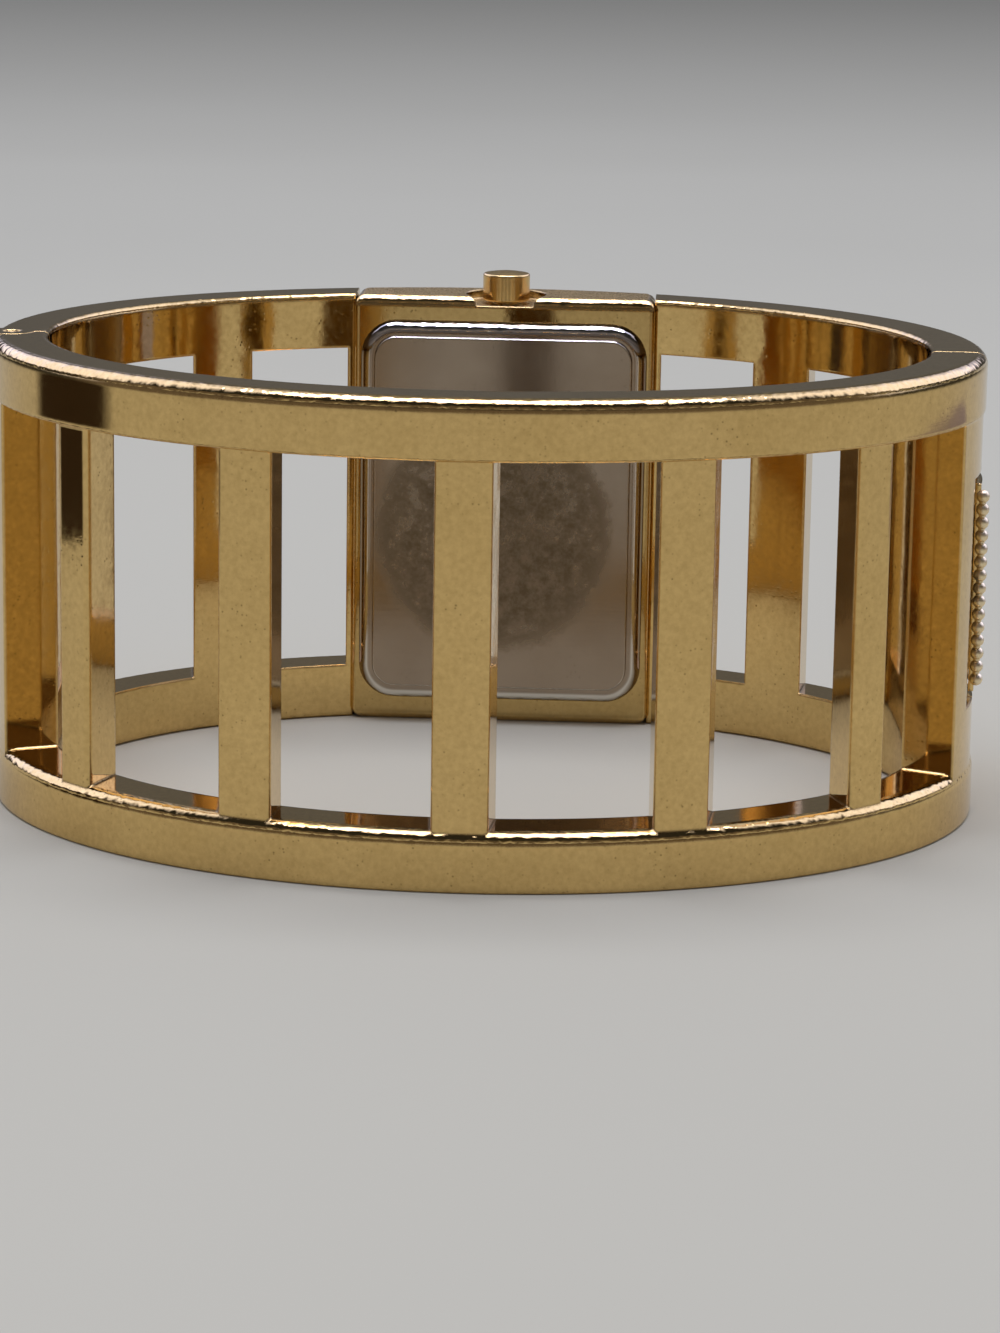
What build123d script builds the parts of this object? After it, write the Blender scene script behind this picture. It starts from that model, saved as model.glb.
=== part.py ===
from build123d import *
import os
from math import asin, cos, pi, radians, sin, sqrt

# Bangle watch: an oval gold bangle of two openwork halves, hinged at one end and
# closed at the other by a fold-over lever, with a rectangular quartz watch head
# in the middle of the front half. Millimetres. The bangle stands on its lower rim:
# +Z is the bangle's own axis, +Y points to the dial, the hinge is at -X and the
# clasp at +X. The origin is the middle of the oval, on the plane it stands on.

# Bangle
oval_length = 66.0
oval_width = 52.4
band_height = 31.0
wall = 3.8
rim_height = 3.9
rim_round = 0.85
foot_edge = 0.25
inner_edge = 0.4
bar_width = 3.5
outer_bar_width = 2.8
arm_bar_width = 4.6
bar_setback = 0.35
bar_edge = 0.3
block_setback = 0.15
block_edge = 0.45
block_lead = 3.2
seam_offset = 1.6
seam_gap = 0.08

# Places along a quarter of the oval's outline, from the middle of a half to its end
back_bar_share = 0.298
arm_bar_share = 0.456
arm_block_share = 0.7374

# Sides of the windows: how far each leans off the pull direction of its mould
draft_lean = 4.5
inner_bar_lean = 5.4
outer_bar_lean = 18.5
outer_bar_far_lean = 8.0
end_block_lean = 65.0
arm_bar_lean = 8.0
arm_block_lean = 41.0

# Front half
arm_end_strip = 0.5

# Hinge at the end of the oval
hinge_depth = 1.3
knuckle_radius = 1.5
knuckle_count = 5
knuckle_gap = 0.08
knuckle_clearance = 0.1
hinge_pin_radius = 0.6
pin_clearance = 0.02
pin_inset = 0.1

# Clasp
recess_height = 15.4
recess_depth = 0.6
recess_back_run = 3.6
lever_hinge_run = 6.6
lever_plate = 0.35
lever_inset = 0.05
lever_end_gap = 0.7
lever_overlap = 1.35
lever_knuckle_radius = 0.75
lever_knuckle_height = 8.0
lever_knuckle_gap = 0.1
lever_axis_depth = 1.0
lever_swing_gap = 0.1
clasp_pin_radius = 0.4
clasp_pin_grip = 3.0
bead_count = 15
bead_radius = 0.44
bead_pitch = 0.88
bead_inset = -0.1
peg_width = 1.6
peg_run = 0.8
peg_reach = 1.9
catch_floor = 2.3
catch_run = 2.6
catch_wall = 0.15
catch_gap = 0.06

# Watch head, measured from the front of the oval towards the wrist
head_width = 21.4
head_depth = 5.9
head_edge = 0.8
head_side_edge = 0.3
case_side_wall = 1.5
case_end_wall = 2.5
cavity_width = head_width - 2 * case_side_wall
cavity_height = band_height - 2 * case_end_wall
cavity_round = 2.4
front_wall = 0.6
dial_depth = 1.9
dial_ledge = 1.3
dial_end_ledge = 0.7
dial_opening_width = cavity_width - 2 * dial_ledge
dial_opening_height = cavity_height - 2 * dial_end_ledge
opening_round = 1.2
bezel_lap = 1.1
bezel_end_lap = 1.7
bezel_width = dial_opening_width + 2 * bezel_lap
bezel_height = dial_opening_height + 2 * bezel_end_lap
bezel_round = 1.6
bezel_proud = 1.1
bezel_bevel = 0.8
bezel_side_bar = 1.85
bezel_end_bar = 2.05
bezel_opening_width = bezel_width - 2 * bezel_side_bar
bezel_opening_height = bezel_height - 2 * bezel_end_bar
rebate_depth = 0.2
crystal_overlap = 0.4
crystal_thickness = 1.25
crystal_round = 1.4
gasket_wall = 0.25
fit_gap = 0.02
slip_gap = 0.05

# Snap-on steel back
back_lap = 1.0
back_end_lap = 0.75
back_width = cavity_width + 2 * back_lap
back_height = cavity_height + 2 * back_end_lap
back_round = 2.6
back_proud = 1.2
back_rounding = 0.85
back_panel_inset = 1.05
back_panel_step = 0.2
back_panel_edge = 0.1
back_plate = 0.9
skirt_wall = 0.7
skirt_reach = 1.0
back_gasket_depth = 0.38
back_gasket_width = 0.45

# Crown, stem and tube
crown_radius = 1.67
crown_height = 2.1
crown_lift = 0.45
crown_dome = 0.18
crown_edge = 0.15
crown_scallop_gap = 1.2
crown_scallop_depth = 0.65
crown_bore_radius = 1.1
crown_bore_depth = 1.3
crown_travel = 1.0
tube_radius = 0.75
tube_proud = 0.75
stem_radius = 0.4
stem_clearance = 0.06
o_ring_height = 0.45
o_ring_lift = 0.25

# Dial and hands
dial_thickness = 0.4
dial_margin = 0.3
dial_hole_radius = 0.9
dial_foot_radius = 0.3
dial_foot_length = 0.6
marker_length = 1.9
marker_width = 0.5
marker_height = 0.22
marker_margin = 0.6
hour_hand_length = 4.6
minute_hand_length = 6.3
hand_width = 0.75
hand_tail = 1.6
hand_thickness = 0.12
hour_hand_lift = 0.35
minute_hand_lift = 0.8
hand_hub_wall = 0.4
minutes_shown = 10
hours_shown = 10

# Movement, measured from the back of the dial towards the wrist
plate_width = 15.3
plate_height = 17.8
plate_round = 3.2
plate_thickness = 1.0
train_level = 2.2
bridge_thickness = 0.4
gear_module = 0.075
motion_module = 0.1
wheel_thickness = 0.15
pinion_thickness = 0.26
tooth_top_share = 0.22
tooth_root_share = 0.6
tooth_reach_share = 0.85
tooth_depth_share = 1.15
rotor_teeth = 6
intermediate_teeth = 60
intermediate_pinion_teeth = 8
centre_teeth = 72
cannon_teeth = 10
minute_wheel_teeth = 30
minute_pinion_teeth = 8
hour_teeth = 32
intermediate_bearing = -50.0
rotor_bearing = -20.0
minute_wheel_bearing = 90.0
centre_wheel_level = 1.35
intermediate_wheel_level = 1.85
cannon_level = 0.3
hour_wheel_level = 0.08
motion_recess = 0.62
arbor_radius = 0.2
pivot_radius = 0.1
pivot_length = 0.25
pivot_clearance = 0.03
arbor_play = 0.04
cannon_radius = 0.42
cannon_wall_gap = 0.06
hour_pipe_wall = 0.18
magnet_radius = 0.7
magnet_thickness = 0.45
magnet_level = 1.25
stator_gap = 0.25
pillar_radius = 0.8
pillar_left = (-3.6, 0.9)
pillar_right = (3.5, 3.5)
pillar_foot = (1.6, -6.6)
bridge_rim = 0.9
screw_radius = 0.25
screw_head_radius = 0.55
screw_head_height = 0.25
battery_radius = 3.4
battery_thickness = 2.0
battery_step = 0.35
battery_place = (-4.0, -5.0)
battery_clearance = 0.65
strap_width = 2.0
strap_thickness = 0.12
strap_overhang = 0.45
coil_place = 6.5
coil_radius = 0.85
coil_low = -7.0
coil_high = 0.2
core_width = 0.8
core_thickness = 0.3
stator_thickness = 0.4
stator_left = 3.2
stator_right = 5.35
stator_foot = 1.3
stator_level = 1.25
stator_boss_radius = 0.4
stator_screw_run = 5.55
stator_screw_head = 0.45
quartz_radius = 0.75
quartz_length = 5.0
quartz_place = (-5.9, 1.8)
quartz_lead = 0.6
board_thickness = 0.15
board_low = -0.6
board_high = 8.0
board_left = -7.0
board_right = -1.0
chip_size = 1.7
chip_thickness = 0.45
chip_place = (-3.4, 3.4)

# Keyless works: stem, clutch and the two levers that ride in their grooves
stem_level = 1.5
stem_inner_end = 2.95
stem_square_start = 3.5
stem_square_side = 0.5
stem_groove_start = 5.9
stem_groove_width = 0.6
stem_groove_radius = 0.22
stem_pilot_radius = 0.22
clutch_start = 4.5
clutch_length = 1.2
clutch_teeth = 12
clutch_tooth_radius = 0.8
clutch_tooth_length = 0.45
clutch_tooth_depth = 0.15
clutch_hub_radius = 0.65
clutch_groove_radius = 0.5
clutch_groove_start = 0.65
clutch_groove_width = 0.36
clutch_travel = 0.6
clutch_pocket_gap = 0.2
lever_level = 2.2
lever_thickness = 0.18
lever_boss_radius = 0.6
lever_pin_radius = 0.3
lever_arm_width = 0.55
stem_peg_radius = 0.15
stem_peg_gap = 0.13
clutch_peg_radius = 0.1
clutch_peg_gap = 0.17
setting_pivot_run = 2.7
yoke_pivot_run = 2.9
stem_block_width = 2.4
stem_block_start = 7.9
stem_block_length = 0.95
stem_block_top = 2.12

# One overrun serves every cut
overrun = 1.0

half_length = oval_length / 2
half_width = oval_width / 2
middle = band_height / 2
dial_back = dial_depth + dial_thickness


def oval(inset):
    """Face of the oval, drawn in by the inset."""
    return Ellipse(half_length - inset, half_width - inset)


def oval_solid(inset, low, high):
    """Solid oval between two heights."""
    return Pos(0, 0, low) * extrude(oval(inset), high - low)


def oval_x(inset, y):
    """Half length of the oval at a distance from its long axis."""
    share = y / (half_width - inset)
    return (half_length - inset) * sqrt(1 - share * share)


def block(x0, x1, y0, y1, z0, z1):
    """Box between two corners."""
    return Pos(x0, y0, z0) * Box(
        x1 - x0, y1 - y0, z1 - z0, align=(Align.MIN, Align.MIN, Align.MIN)
    )


def head_plane(depth):
    """Plane across the head, facing the wrist, at a depth behind the oval's front."""
    return Plane(origin=(0, half_width - depth, middle), x_dir=(1, 0, 0), z_dir=(0, -1, 0))


def across_head(face, start, end):
    """Face drawn on the head's plane, given thickness between two depths."""
    return head_plane(start) * extrude(face, end - start)


def in_movement(face, start, end):
    """The same for the movement, whose depths start at the dial's back."""
    return across_head(face, dial_back + start, dial_back + end)


def disc(radius, place=(0, 0)):
    """Round face at a place."""
    return Pos(place[0], place[1]) * Circle(radius)


def frame_face(width, height, corner, ring):
    """Rounded rectangular ring, its width measured inwards."""
    outer = RectangleRounded(width, height, corner)
    return outer - RectangleRounded(width - 2 * ring, height - 2 * ring, corner - ring)


def rim(low, high):
    """One rim before the inside is cut, its outer edges rounded."""
    disc_solid = oval_solid(0, low, high)
    disc_solid = fillet(disc_solid.edges().group_by(Axis.Z)[0], foot_edge)
    return fillet(disc_solid.edges().group_by(Axis.Z)[-1], rim_round)


def ladder_from(pieces):
    """Both rims joined by upright pieces, then cut to the oval inside."""
    ladder = rim(0, rim_height) + rim(band_height - rim_height, band_height) + pieces
    ladder -= oval_solid(wall, -overrun, band_height + overrun)
    for group in (0, -1):
        inner = ladder.edges().group_by(Axis.Z)[group].sort_by(SortBy.LENGTH)[0]
        ladder = fillet(inner, inner_edge)
    return ladder


def run_edge():
    """Quarter of the oval's outline, from X = 0 at the back to the clasp's end."""
    return Edge.make_ellipse(half_length, half_width, start_angle=270, end_angle=360)


def lean_point(point, lean, reach):
    """Point reached from another at a lean off the Y axis, inwards."""
    return (point.X + reach * sin(radians(lean)), point.Y + reach * cos(radians(lean)))


def wall_face(outline, setback):
    """Plan of a piece of the wall, from an outline that runs past both faces."""
    return make_face(outline) & (oval(setback) - oval(wall + overrun))


def upright(face):
    """Piece of the wall between the rims, sunk halfway into both."""
    low = rim_height / 2
    return Pos(0, 0, low) * extrude(face, band_height - 2 * low)


def outwardness(corner):
    """How far out a corner stands, as a share of the oval."""
    across, along = corner.X / half_length, corner.Y / half_width
    return across * across + along * along


def bar(share, width, left_lean, right_lean):
    """Upright bar between the rims, at a share of the way along the outline.

    A lean is in degrees, positive towards +X, from the outer face inwards.
    """
    edge = run_edge()
    run = share * edge.length
    centre = edge.position_at(run, position_mode=PositionMode.LENGTH)
    half = edge.tangent_at(run, position_mode=PositionMode.LENGTH) * (width / 2)
    left, right = centre - half, centre + half
    reach = 2 * wall
    outline = Polyline(
        lean_point(left, left_lean, -overrun),
        lean_point(right, right_lean, -overrun),
        lean_point(right, right_lean, reach),
        lean_point(left, left_lean, reach),
        close=True,
    )
    face = wall_face(outline, bar_setback)
    outer = face.vertices().sort_by(outwardness)[-2:]
    return upright(fillet(outer, bar_edge))


def end_block(share, lean, lead):
    """Solid end of the back half, from a share of the outline less a lead."""
    edge = run_edge()
    run = share * edge.length - lead
    point = edge.position_at(run, position_mode=PositionMode.LENGTH)
    inner = lean_point(point, -lean, 2 * wall)
    past_seam = seam_offset + overrun
    outline = Polyline(
        lean_point(point, -lean, -2 * wall),
        (half_length + 2 * wall, past_seam),
        (inner[0], past_seam),
        inner,
        close=True,
    )
    face = wall_face(outline, block_setback)
    outer = face.vertices().sort_by(outwardness)[-2:].sort_by(Axis.Y)[:1]
    return upright(fillet(outer, block_edge))


def back_ladder():
    """Back half's casting before its hinge and catch are cut."""
    shapes = (
        (bar_width, -draft_lean, draft_lean),
        (bar_width, -inner_bar_lean, draft_lean),
        (outer_bar_width, -outer_bar_lean, -outer_bar_far_lean),
    )
    pieces = [bar(step * back_bar_share, *shape) for step, shape in enumerate(shapes)]
    pieces.append(end_block(3 * back_bar_share, end_block_lean, block_lead))
    pieces += [mirror(piece, about=Plane.YZ) for piece in pieces[1:]]
    return ladder_from(pieces)


def front_ladder():
    """Arm of the front half on the clasp side, from its seam to the watch head."""
    pieces = [
        bar(arm_bar_share, arm_bar_width, -arm_bar_lean, -arm_bar_lean),
        end_block(arm_block_share, arm_block_lean, 0),
    ]
    pieces = [mirror(piece, about=Plane.XZ) for piece in pieces]
    half_head = head_width / 2
    far = half_head + arm_end_strip
    strip = Polyline((0, 0), (far, 0), (far, half_width), (0, half_width), close=True)
    pieces.append(upright(wall_face(strip, bar_setback)))
    reach, high = half_length + overrun, band_height + overrun
    return ladder_from(pieces) & block(half_head, reach, -half_width, half_width, -overrun, high)


def half_space(front):
    """Everything on one side of the seams."""
    seam = -seam_offset
    far = half_width + head_depth
    reach = half_length + overrun
    if front:
        return block(-reach, reach, seam + seam_gap / 2, far, -overrun, band_height + overrun)
    return block(-reach, reach, -far, seam - seam_gap / 2, -overrun, band_height + overrun)


def hinge_place():
    """Plan position of the bangle's hinge axis."""
    return (-(oval_x(0, seam_offset) - hinge_depth), -seam_offset)


def hinge_cylinder(radius, low, high):
    """Upright cylinder on the hinge axis."""
    x, y = hinge_place()
    return Pos(x, y, low) * Cylinder(
        radius, high - low, align=(Align.CENTER, Align.CENTER, Align.MIN)
    )


def with_hinge(half, own, bore_radius):
    """Adds one half's own knuckles and clears the other half's."""
    step = band_height / knuckle_count
    for index in range(knuckle_count):
        low, high = index * step, (index + 1) * step
        if index % 2 == own:
            trim_low = knuckle_gap / 2 if index else 0
            trim_high = knuckle_gap / 2 if index < knuckle_count - 1 else 0
            half += hinge_cylinder(knuckle_radius, low + trim_low, high - trim_high)
        else:
            cut_low = low - knuckle_gap / 2 if index else -overrun
            cut_high = high + knuckle_gap / 2 if index < knuckle_count - 1 else band_height + overrun
            half -= hinge_cylinder(knuckle_radius + knuckle_clearance, cut_low, cut_high)
    return half - hinge_cylinder(bore_radius, -overrun, band_height + overrun)


def hinge_pin():
    """Pin through all the knuckles, its ends just under the rims."""
    return hinge_cylinder(hinge_pin_radius, pin_inset, band_height - pin_inset)


def lever_axis():
    """Plan position of the clasp lever's hinge axis."""
    y = lever_hinge_run - seam_offset
    return (oval_x(0, y) - lever_axis_depth, y)


def clasp_recess():
    """Shallow slot across the seam that the lever lies in."""
    axis_x, axis_y = lever_axis()
    end_y = axis_y + lever_axis_depth + lever_swing_gap
    low, high = middle - recess_height / 2, middle + recess_height / 2
    reach = half_length + overrun
    start_y = -seam_offset - recess_back_run
    slot = block(half_length / 2, reach, start_y, end_y, low, high)
    return slot - oval_solid(recess_depth, low - overrun, high + overrun)


def lever_pocket():
    """Room for the lever's knuckle in the front half."""
    axis_x, axis_y = lever_axis()
    radius = lever_knuckle_radius + lever_knuckle_gap
    height = lever_knuckle_height + 2 * lever_knuckle_gap
    well = Pos(axis_x, axis_y, middle) * Cylinder(radius, height)
    mouth = block(
        axis_x,
        half_length + overrun,
        axis_y - radius,
        axis_y + lever_axis_depth + lever_swing_gap,
        middle - height / 2,
        middle + height / 2,
    )
    return well + mouth


def clasp_pin_solid(radius, low):
    """Upright cylinder on the lever's axis, from a height to its grip above the slot."""
    axis_x, axis_y = lever_axis()
    high = middle + lever_knuckle_height / 2 + clasp_pin_grip
    return Pos(axis_x, axis_y, low) * Cylinder(
        radius, high - low, align=(Align.CENTER, Align.CENTER, Align.MIN)
    )


def peg_centre():
    """Distance of the lever's peg from the long axis."""
    return -seam_offset - lever_overlap / 2


def catch_slot():
    """Slot for the lever's peg and its spring, open at the seam and outside."""
    half_slot = peg_width / 2 + catch_gap + catch_wall
    y0 = -seam_offset - catch_run
    x0 = oval_x(0, seam_offset) - catch_floor
    return block(
        x0, half_length + overrun, y0, 0, middle - half_slot, middle + half_slot
    )


def catch_spring():
    """Spring clip in the slot, a flat U whose legs grip the peg."""
    half_slot = peg_width / 2 + catch_gap + catch_wall
    y0 = -seam_offset - catch_run
    x0 = oval_x(0, seam_offset) - catch_floor
    x1 = oval_x(0, seam_offset + catch_run) - recess_depth - catch_wall
    y1 = -seam_offset - seam_gap
    outer = block(x0, x1, y0, y1, middle - half_slot, middle + half_slot)
    inner_half = half_slot - catch_wall
    inner = block(
        x0 - overrun,
        x1 + overrun,
        y0 + catch_wall,
        y1 + overrun,
        middle - inner_half,
        middle + inner_half,
    )
    return outer - inner


def back_half():
    """Cast back half with its hinge knuckles, clasp recess and catch slot."""
    half = back_ladder() & half_space(False)
    half = with_hinge(half, 1, hinge_pin_radius + pin_clearance)
    return half - clasp_recess() - catch_slot()


def left_arm():
    """Front half's arm on the hinge side."""
    arm = mirror(front_ladder(), about=Plane.YZ)
    return with_hinge(arm & half_space(True), 0, hinge_pin_radius)


def right_arm():
    """Front half's arm on the clasp side."""
    arm = front_ladder() & half_space(True)
    arm = arm - clasp_recess() - lever_pocket()
    return arm - clasp_pin_solid(clasp_pin_radius, -overrun)


def clasp_lever():
    """Curved plate with a knuckle at one end and a peg under the other."""
    axis_x, axis_y = lever_axis()
    half_lever = recess_height / 2 - lever_end_gap
    low, high = middle - half_lever, middle + half_lever
    sheet = oval_solid(lever_inset, low, high)
    sheet -= oval_solid(lever_inset + lever_plate, low - overrun, high + overrun)
    free_end = -seam_offset - lever_overlap
    tail = axis_y - (lever_axis_depth - recess_depth + lever_swing_gap)
    sheet &= block(half_length / 2, half_length, free_end, tail, low, high)
    barrel = Pos(axis_x, axis_y, middle) * Cylinder(lever_knuckle_radius, lever_knuckle_height)
    web = block(
        axis_x,
        half_length,
        axis_y - lever_knuckle_radius,
        axis_y,
        middle - lever_knuckle_height / 2,
        middle + lever_knuckle_height / 2,
    )
    web = web & oval_solid(lever_inset, low, high)
    peg_y = peg_centre()
    peg = block(
        oval_x(0, seam_offset) - peg_reach,
        half_length,
        peg_y - peg_run / 2,
        peg_y + peg_run / 2,
        middle - peg_width / 2,
        middle + peg_width / 2,
    )
    peg = peg & oval_solid(lever_inset + lever_plate / 2, low, high)
    tip = peg.edges().filter_by(Axis.Z).sort_by(Axis.X)[:2]
    peg = fillet(tip, peg_run / 3)
    lever = sheet + barrel + web + peg
    return lever - Pos(axis_x, axis_y, middle) * Cylinder(
        clasp_pin_radius + pin_clearance, lever_knuckle_height + overrun
    )


def clasp_beads():
    """Row of beads along the lever's free edge, for the thumbnail."""
    y = -seam_offset - lever_overlap
    x = oval_x(bead_inset, y)
    row = []
    for index in range(bead_count):
        z = middle + (index - (bead_count - 1) / 2) * bead_pitch
        row.append(Pos(x, y, z) * Sphere(bead_radius))
    strip_half = (bead_count - 1) * bead_pitch / 2
    wire = Pos(x, y, middle) * Cylinder(bead_radius / 2, 2 * strip_half)
    beads = Part() + row + wire
    return beads - clasp_lever()


def case_body():
    """Case middle, curved in front like the oval, open behind for the movement."""
    back = half_width - head_depth
    half_head = head_width / 2
    body = block(-half_head, half_head, back, half_width + overrun, 0, band_height)
    body = body & oval_solid(0, 0, band_height)
    front = body.edges().filter_by(GeomType.ELLIPSE)
    body = fillet(front, rim_round)
    sides = body.edges().filter_by(Axis.Z).group_by(Axis.Y)[0]
    body = fillet(sides, head_side_edge)
    rear = body.edges().filter_by(Axis.X).group_by(Axis.Y)[0]
    body = fillet(rear, head_edge)
    cavity = RectangleRounded(cavity_width, cavity_height, cavity_round)
    body -= across_head(cavity, dial_depth, head_depth + overrun)
    seat = RectangleRounded(
        cavity_width + 2 * back_gasket_width, cavity_height + 2 * back_gasket_width,
        cavity_round + back_gasket_width,
    )
    body -= across_head(seat, head_depth - back_gasket_depth, head_depth + overrun)
    opening = RectangleRounded(dial_opening_width, dial_opening_height, opening_round)
    body -= across_head(opening, -overrun, head_depth)
    pocket = RectangleRounded(bezel_width, bezel_height, bezel_round)
    body -= across_head(pocket, -overrun, dial_depth - front_wall)
    body -= crown_line(tube_radius, cavity_height / 2 - overrun, middle + overrun)
    scallop_low = middle - crown_scallop_depth
    body -= crown_line(crown_radius + crown_scallop_gap, scallop_low, middle + overrun)
    return body


def crown_line(radius, start, end):
    """Cylinder on the stem's axis, between two heights above the head's middle."""
    y = half_width - dial_back - stem_level
    return Pos(0, y, middle + start) * Cylinder(
        radius, end - start, align=(Align.CENTER, Align.CENTER, Align.MIN)
    )


def bezel():
    """Bevelled frame that holds the crystal."""
    seat = dial_depth - front_wall
    outer = RectangleRounded(
        bezel_width - 2 * fit_gap, bezel_height - 2 * fit_gap, bezel_round - fit_gap
    )
    frame = across_head(outer, -bezel_proud, seat)
    edges = frame.faces().sort_by(Axis.Y)[-1].edges()
    frame = chamfer(edges, bezel_bevel)
    hole = RectangleRounded(bezel_opening_width, bezel_opening_height, opening_round)
    frame -= across_head(hole, -bezel_proud - overrun, seat + overrun)
    rebate = RectangleRounded(
        crystal_width() + 2 * gasket_wall, crystal_height() + 2 * gasket_wall,
        crystal_round + gasket_wall,
    )
    return frame - across_head(rebate, -bezel_proud - overrun, rebate_depth)


def crystal_width():
    """The crystal overlaps the bezel's opening on both sides."""
    return bezel_opening_width + 2 * crystal_overlap


def crystal_height():
    """The same, top to bottom."""
    return bezel_opening_height + 2 * crystal_overlap


def crystal():
    """Flat mineral crystal with a polished edge."""
    face = RectangleRounded(
        crystal_width() - 2 * fit_gap, crystal_height() - 2 * fit_gap, crystal_round - fit_gap
    )
    glass = across_head(face, rebate_depth - crystal_thickness, rebate_depth)
    return chamfer(glass.faces().sort_by(Axis.Y)[-1].edges(), gasket_wall / 2)


def crystal_gasket():
    """Thin gasket between crystal and bezel."""
    face = frame_face(
        crystal_width() + 2 * gasket_wall - 2 * fit_gap,
        crystal_height() + 2 * gasket_wall - 2 * fit_gap,
        crystal_round + gasket_wall - fit_gap,
        gasket_wall - fit_gap,
    )
    return across_head(face, rebate_depth - crystal_thickness + gasket_wall, rebate_depth)


def case_back():
    """Steel snap-on back: rounded flange, raised panel, and a skirt that enters the case."""
    flange = RectangleRounded(back_width, back_height, back_round)
    flange_top = head_depth + back_proud - back_panel_step
    plate = across_head(flange, head_depth, flange_top)
    plate = fillet(plate.faces().sort_by(Axis.Y)[0].edges(), back_rounding)
    panel = RectangleRounded(
        back_width - 2 * back_panel_inset, back_height - 2 * back_panel_inset,
        back_round - back_panel_inset,
    )
    panel = across_head(panel, head_depth + back_proud / 2, head_depth + back_proud)
    plate += fillet(panel.faces().sort_by(Axis.Y)[0].edges(), back_panel_edge)
    skirt = RectangleRounded(
        cavity_width - 2 * slip_gap, cavity_height - 2 * slip_gap, cavity_round - slip_gap
    )
    plate += across_head(skirt, head_depth - skirt_reach, head_depth + fit_gap)
    hollow = RectangleRounded(
        cavity_width - 2 * slip_gap - 2 * skirt_wall,
        cavity_height - 2 * slip_gap - 2 * skirt_wall,
        cavity_round - slip_gap - skirt_wall,
    )
    return plate - across_head(
        hollow, head_depth - skirt_reach - overrun, head_depth + back_proud - back_plate
    )


def case_back_gasket():
    """Gasket in the step at the mouth of the case."""
    face = frame_face(
        cavity_width + 2 * back_gasket_width - 2 * fit_gap,
        cavity_height + 2 * back_gasket_width - 2 * fit_gap,
        cavity_round + back_gasket_width - fit_gap,
        back_gasket_width,
    )
    return across_head(face, head_depth - back_gasket_depth, head_depth)


def crown():
    """Short plain crown with a softly domed end, bored for the tube."""
    start = middle - crown_lift
    rim_top = crown_height - crown_dome
    side = Line((crown_radius, 0), (crown_radius, rim_top))
    dome_radius = (crown_radius * crown_radius + crown_dome * crown_dome) / (2 * crown_dome)
    half_angle = asin(crown_radius / dome_radius) / 2
    sag = dome_radius * (1 - cos(half_angle))
    dome_middle = (dome_radius * sin(half_angle), crown_height - sag)
    dome = ThreePointArc((crown_radius, rim_top), dome_middle, (0, crown_height))
    profile = make_face([Line((0, 0), (crown_radius, 0)), side, dome, Line((0, crown_height), (0, 0))])
    profile = fillet(profile.vertices().sort_by(Axis.X)[-2:], crown_edge)
    y = half_width - dial_back - stem_level
    knob = Pos(0, y, middle + start) * revolve(Plane.XZ * profile, Axis.Z)
    knob -= crown_line(crown_bore_radius, start - overrun, start + crown_bore_depth)
    stem_end = start + crown_bore_depth + stem_grip()
    return knob - crown_line(stem_radius + fit_gap, start, stem_end)


def stem_grip():
    """Length of stem screwed into the crown."""
    return (crown_height - crown_bore_depth) / 2


def crown_tube():
    """Tube fixed in the case side, which the stem passes through."""
    low = cavity_height / 2
    tube = crown_line(tube_radius, low, middle + tube_proud)
    return tube - crown_line(stem_radius + stem_clearance, low - overrun, middle + tube_proud + overrun)


def crown_gasket():
    """O-ring carried inside the crown, wiping the tube."""
    start = middle - crown_lift + o_ring_lift
    ring = crown_line(crown_bore_radius - fit_gap, start, start + o_ring_height)
    ring -= crown_line(tube_radius + fit_gap, start - overrun, start + o_ring_height + overrun)
    return fillet(ring.edges(), o_ring_height / 5)


def stem_solid(radius, start, end):
    """Length of the stem, between two places along it."""
    return crown_line(radius, start, end)


def crown_stem():
    """Stem: pilot, square for the clutch, lever groove and round shank."""
    y = half_width - dial_back - stem_level
    groove_end = stem_groove_start + stem_groove_width
    shank_end = middle - crown_lift + crown_bore_depth + stem_grip()
    stem = stem_solid(stem_pilot_radius, stem_inner_end, stem_square_start)
    square = Pos(0, y, middle + stem_square_start) * Box(
        stem_square_side,
        stem_square_side,
        stem_groove_start - stem_square_start,
        align=(Align.CENTER, Align.CENTER, Align.MIN),
    )
    stem += square
    stem += stem_solid(stem_groove_radius, stem_groove_start, groove_end)
    return stem + stem_solid(stem_radius, groove_end, shank_end)


def clutch_wheel():
    """Clutch that slides on the stem's square, toothed at its inner end."""
    y = half_width - dial_back - stem_level
    end = clutch_start + clutch_length
    groove = clutch_start + clutch_groove_start
    wheel = crown_line(clutch_tooth_radius, clutch_start, clutch_start + clutch_tooth_length)
    wheel += crown_line(clutch_hub_radius, clutch_start, end)
    groove_end = groove + clutch_groove_width
    wheel -= crown_line(clutch_hub_radius + overrun, groove, groove_end) - crown_line(
        clutch_groove_radius, groove, groove_end
    )
    bore = stem_square_side + 2 * stem_clearance
    wheel -= Pos(0, y, middle + clutch_start - overrun) * Box(
        bore, bore, clutch_length + 2 * overrun, align=(Align.CENTER, Align.CENTER, Align.MIN)
    )
    notch_width = pi * clutch_tooth_radius / clutch_teeth
    notch = Pos(clutch_tooth_radius, 0, 0) * Box(
        clutch_tooth_radius, notch_width, 2 * clutch_tooth_depth
    )
    for index in range(clutch_teeth):
        turn = Rot(0, 0, index * 360 / clutch_teeth)
        wheel -= Pos(0, y, middle + clutch_start) * turn * notch
    return wheel


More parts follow.
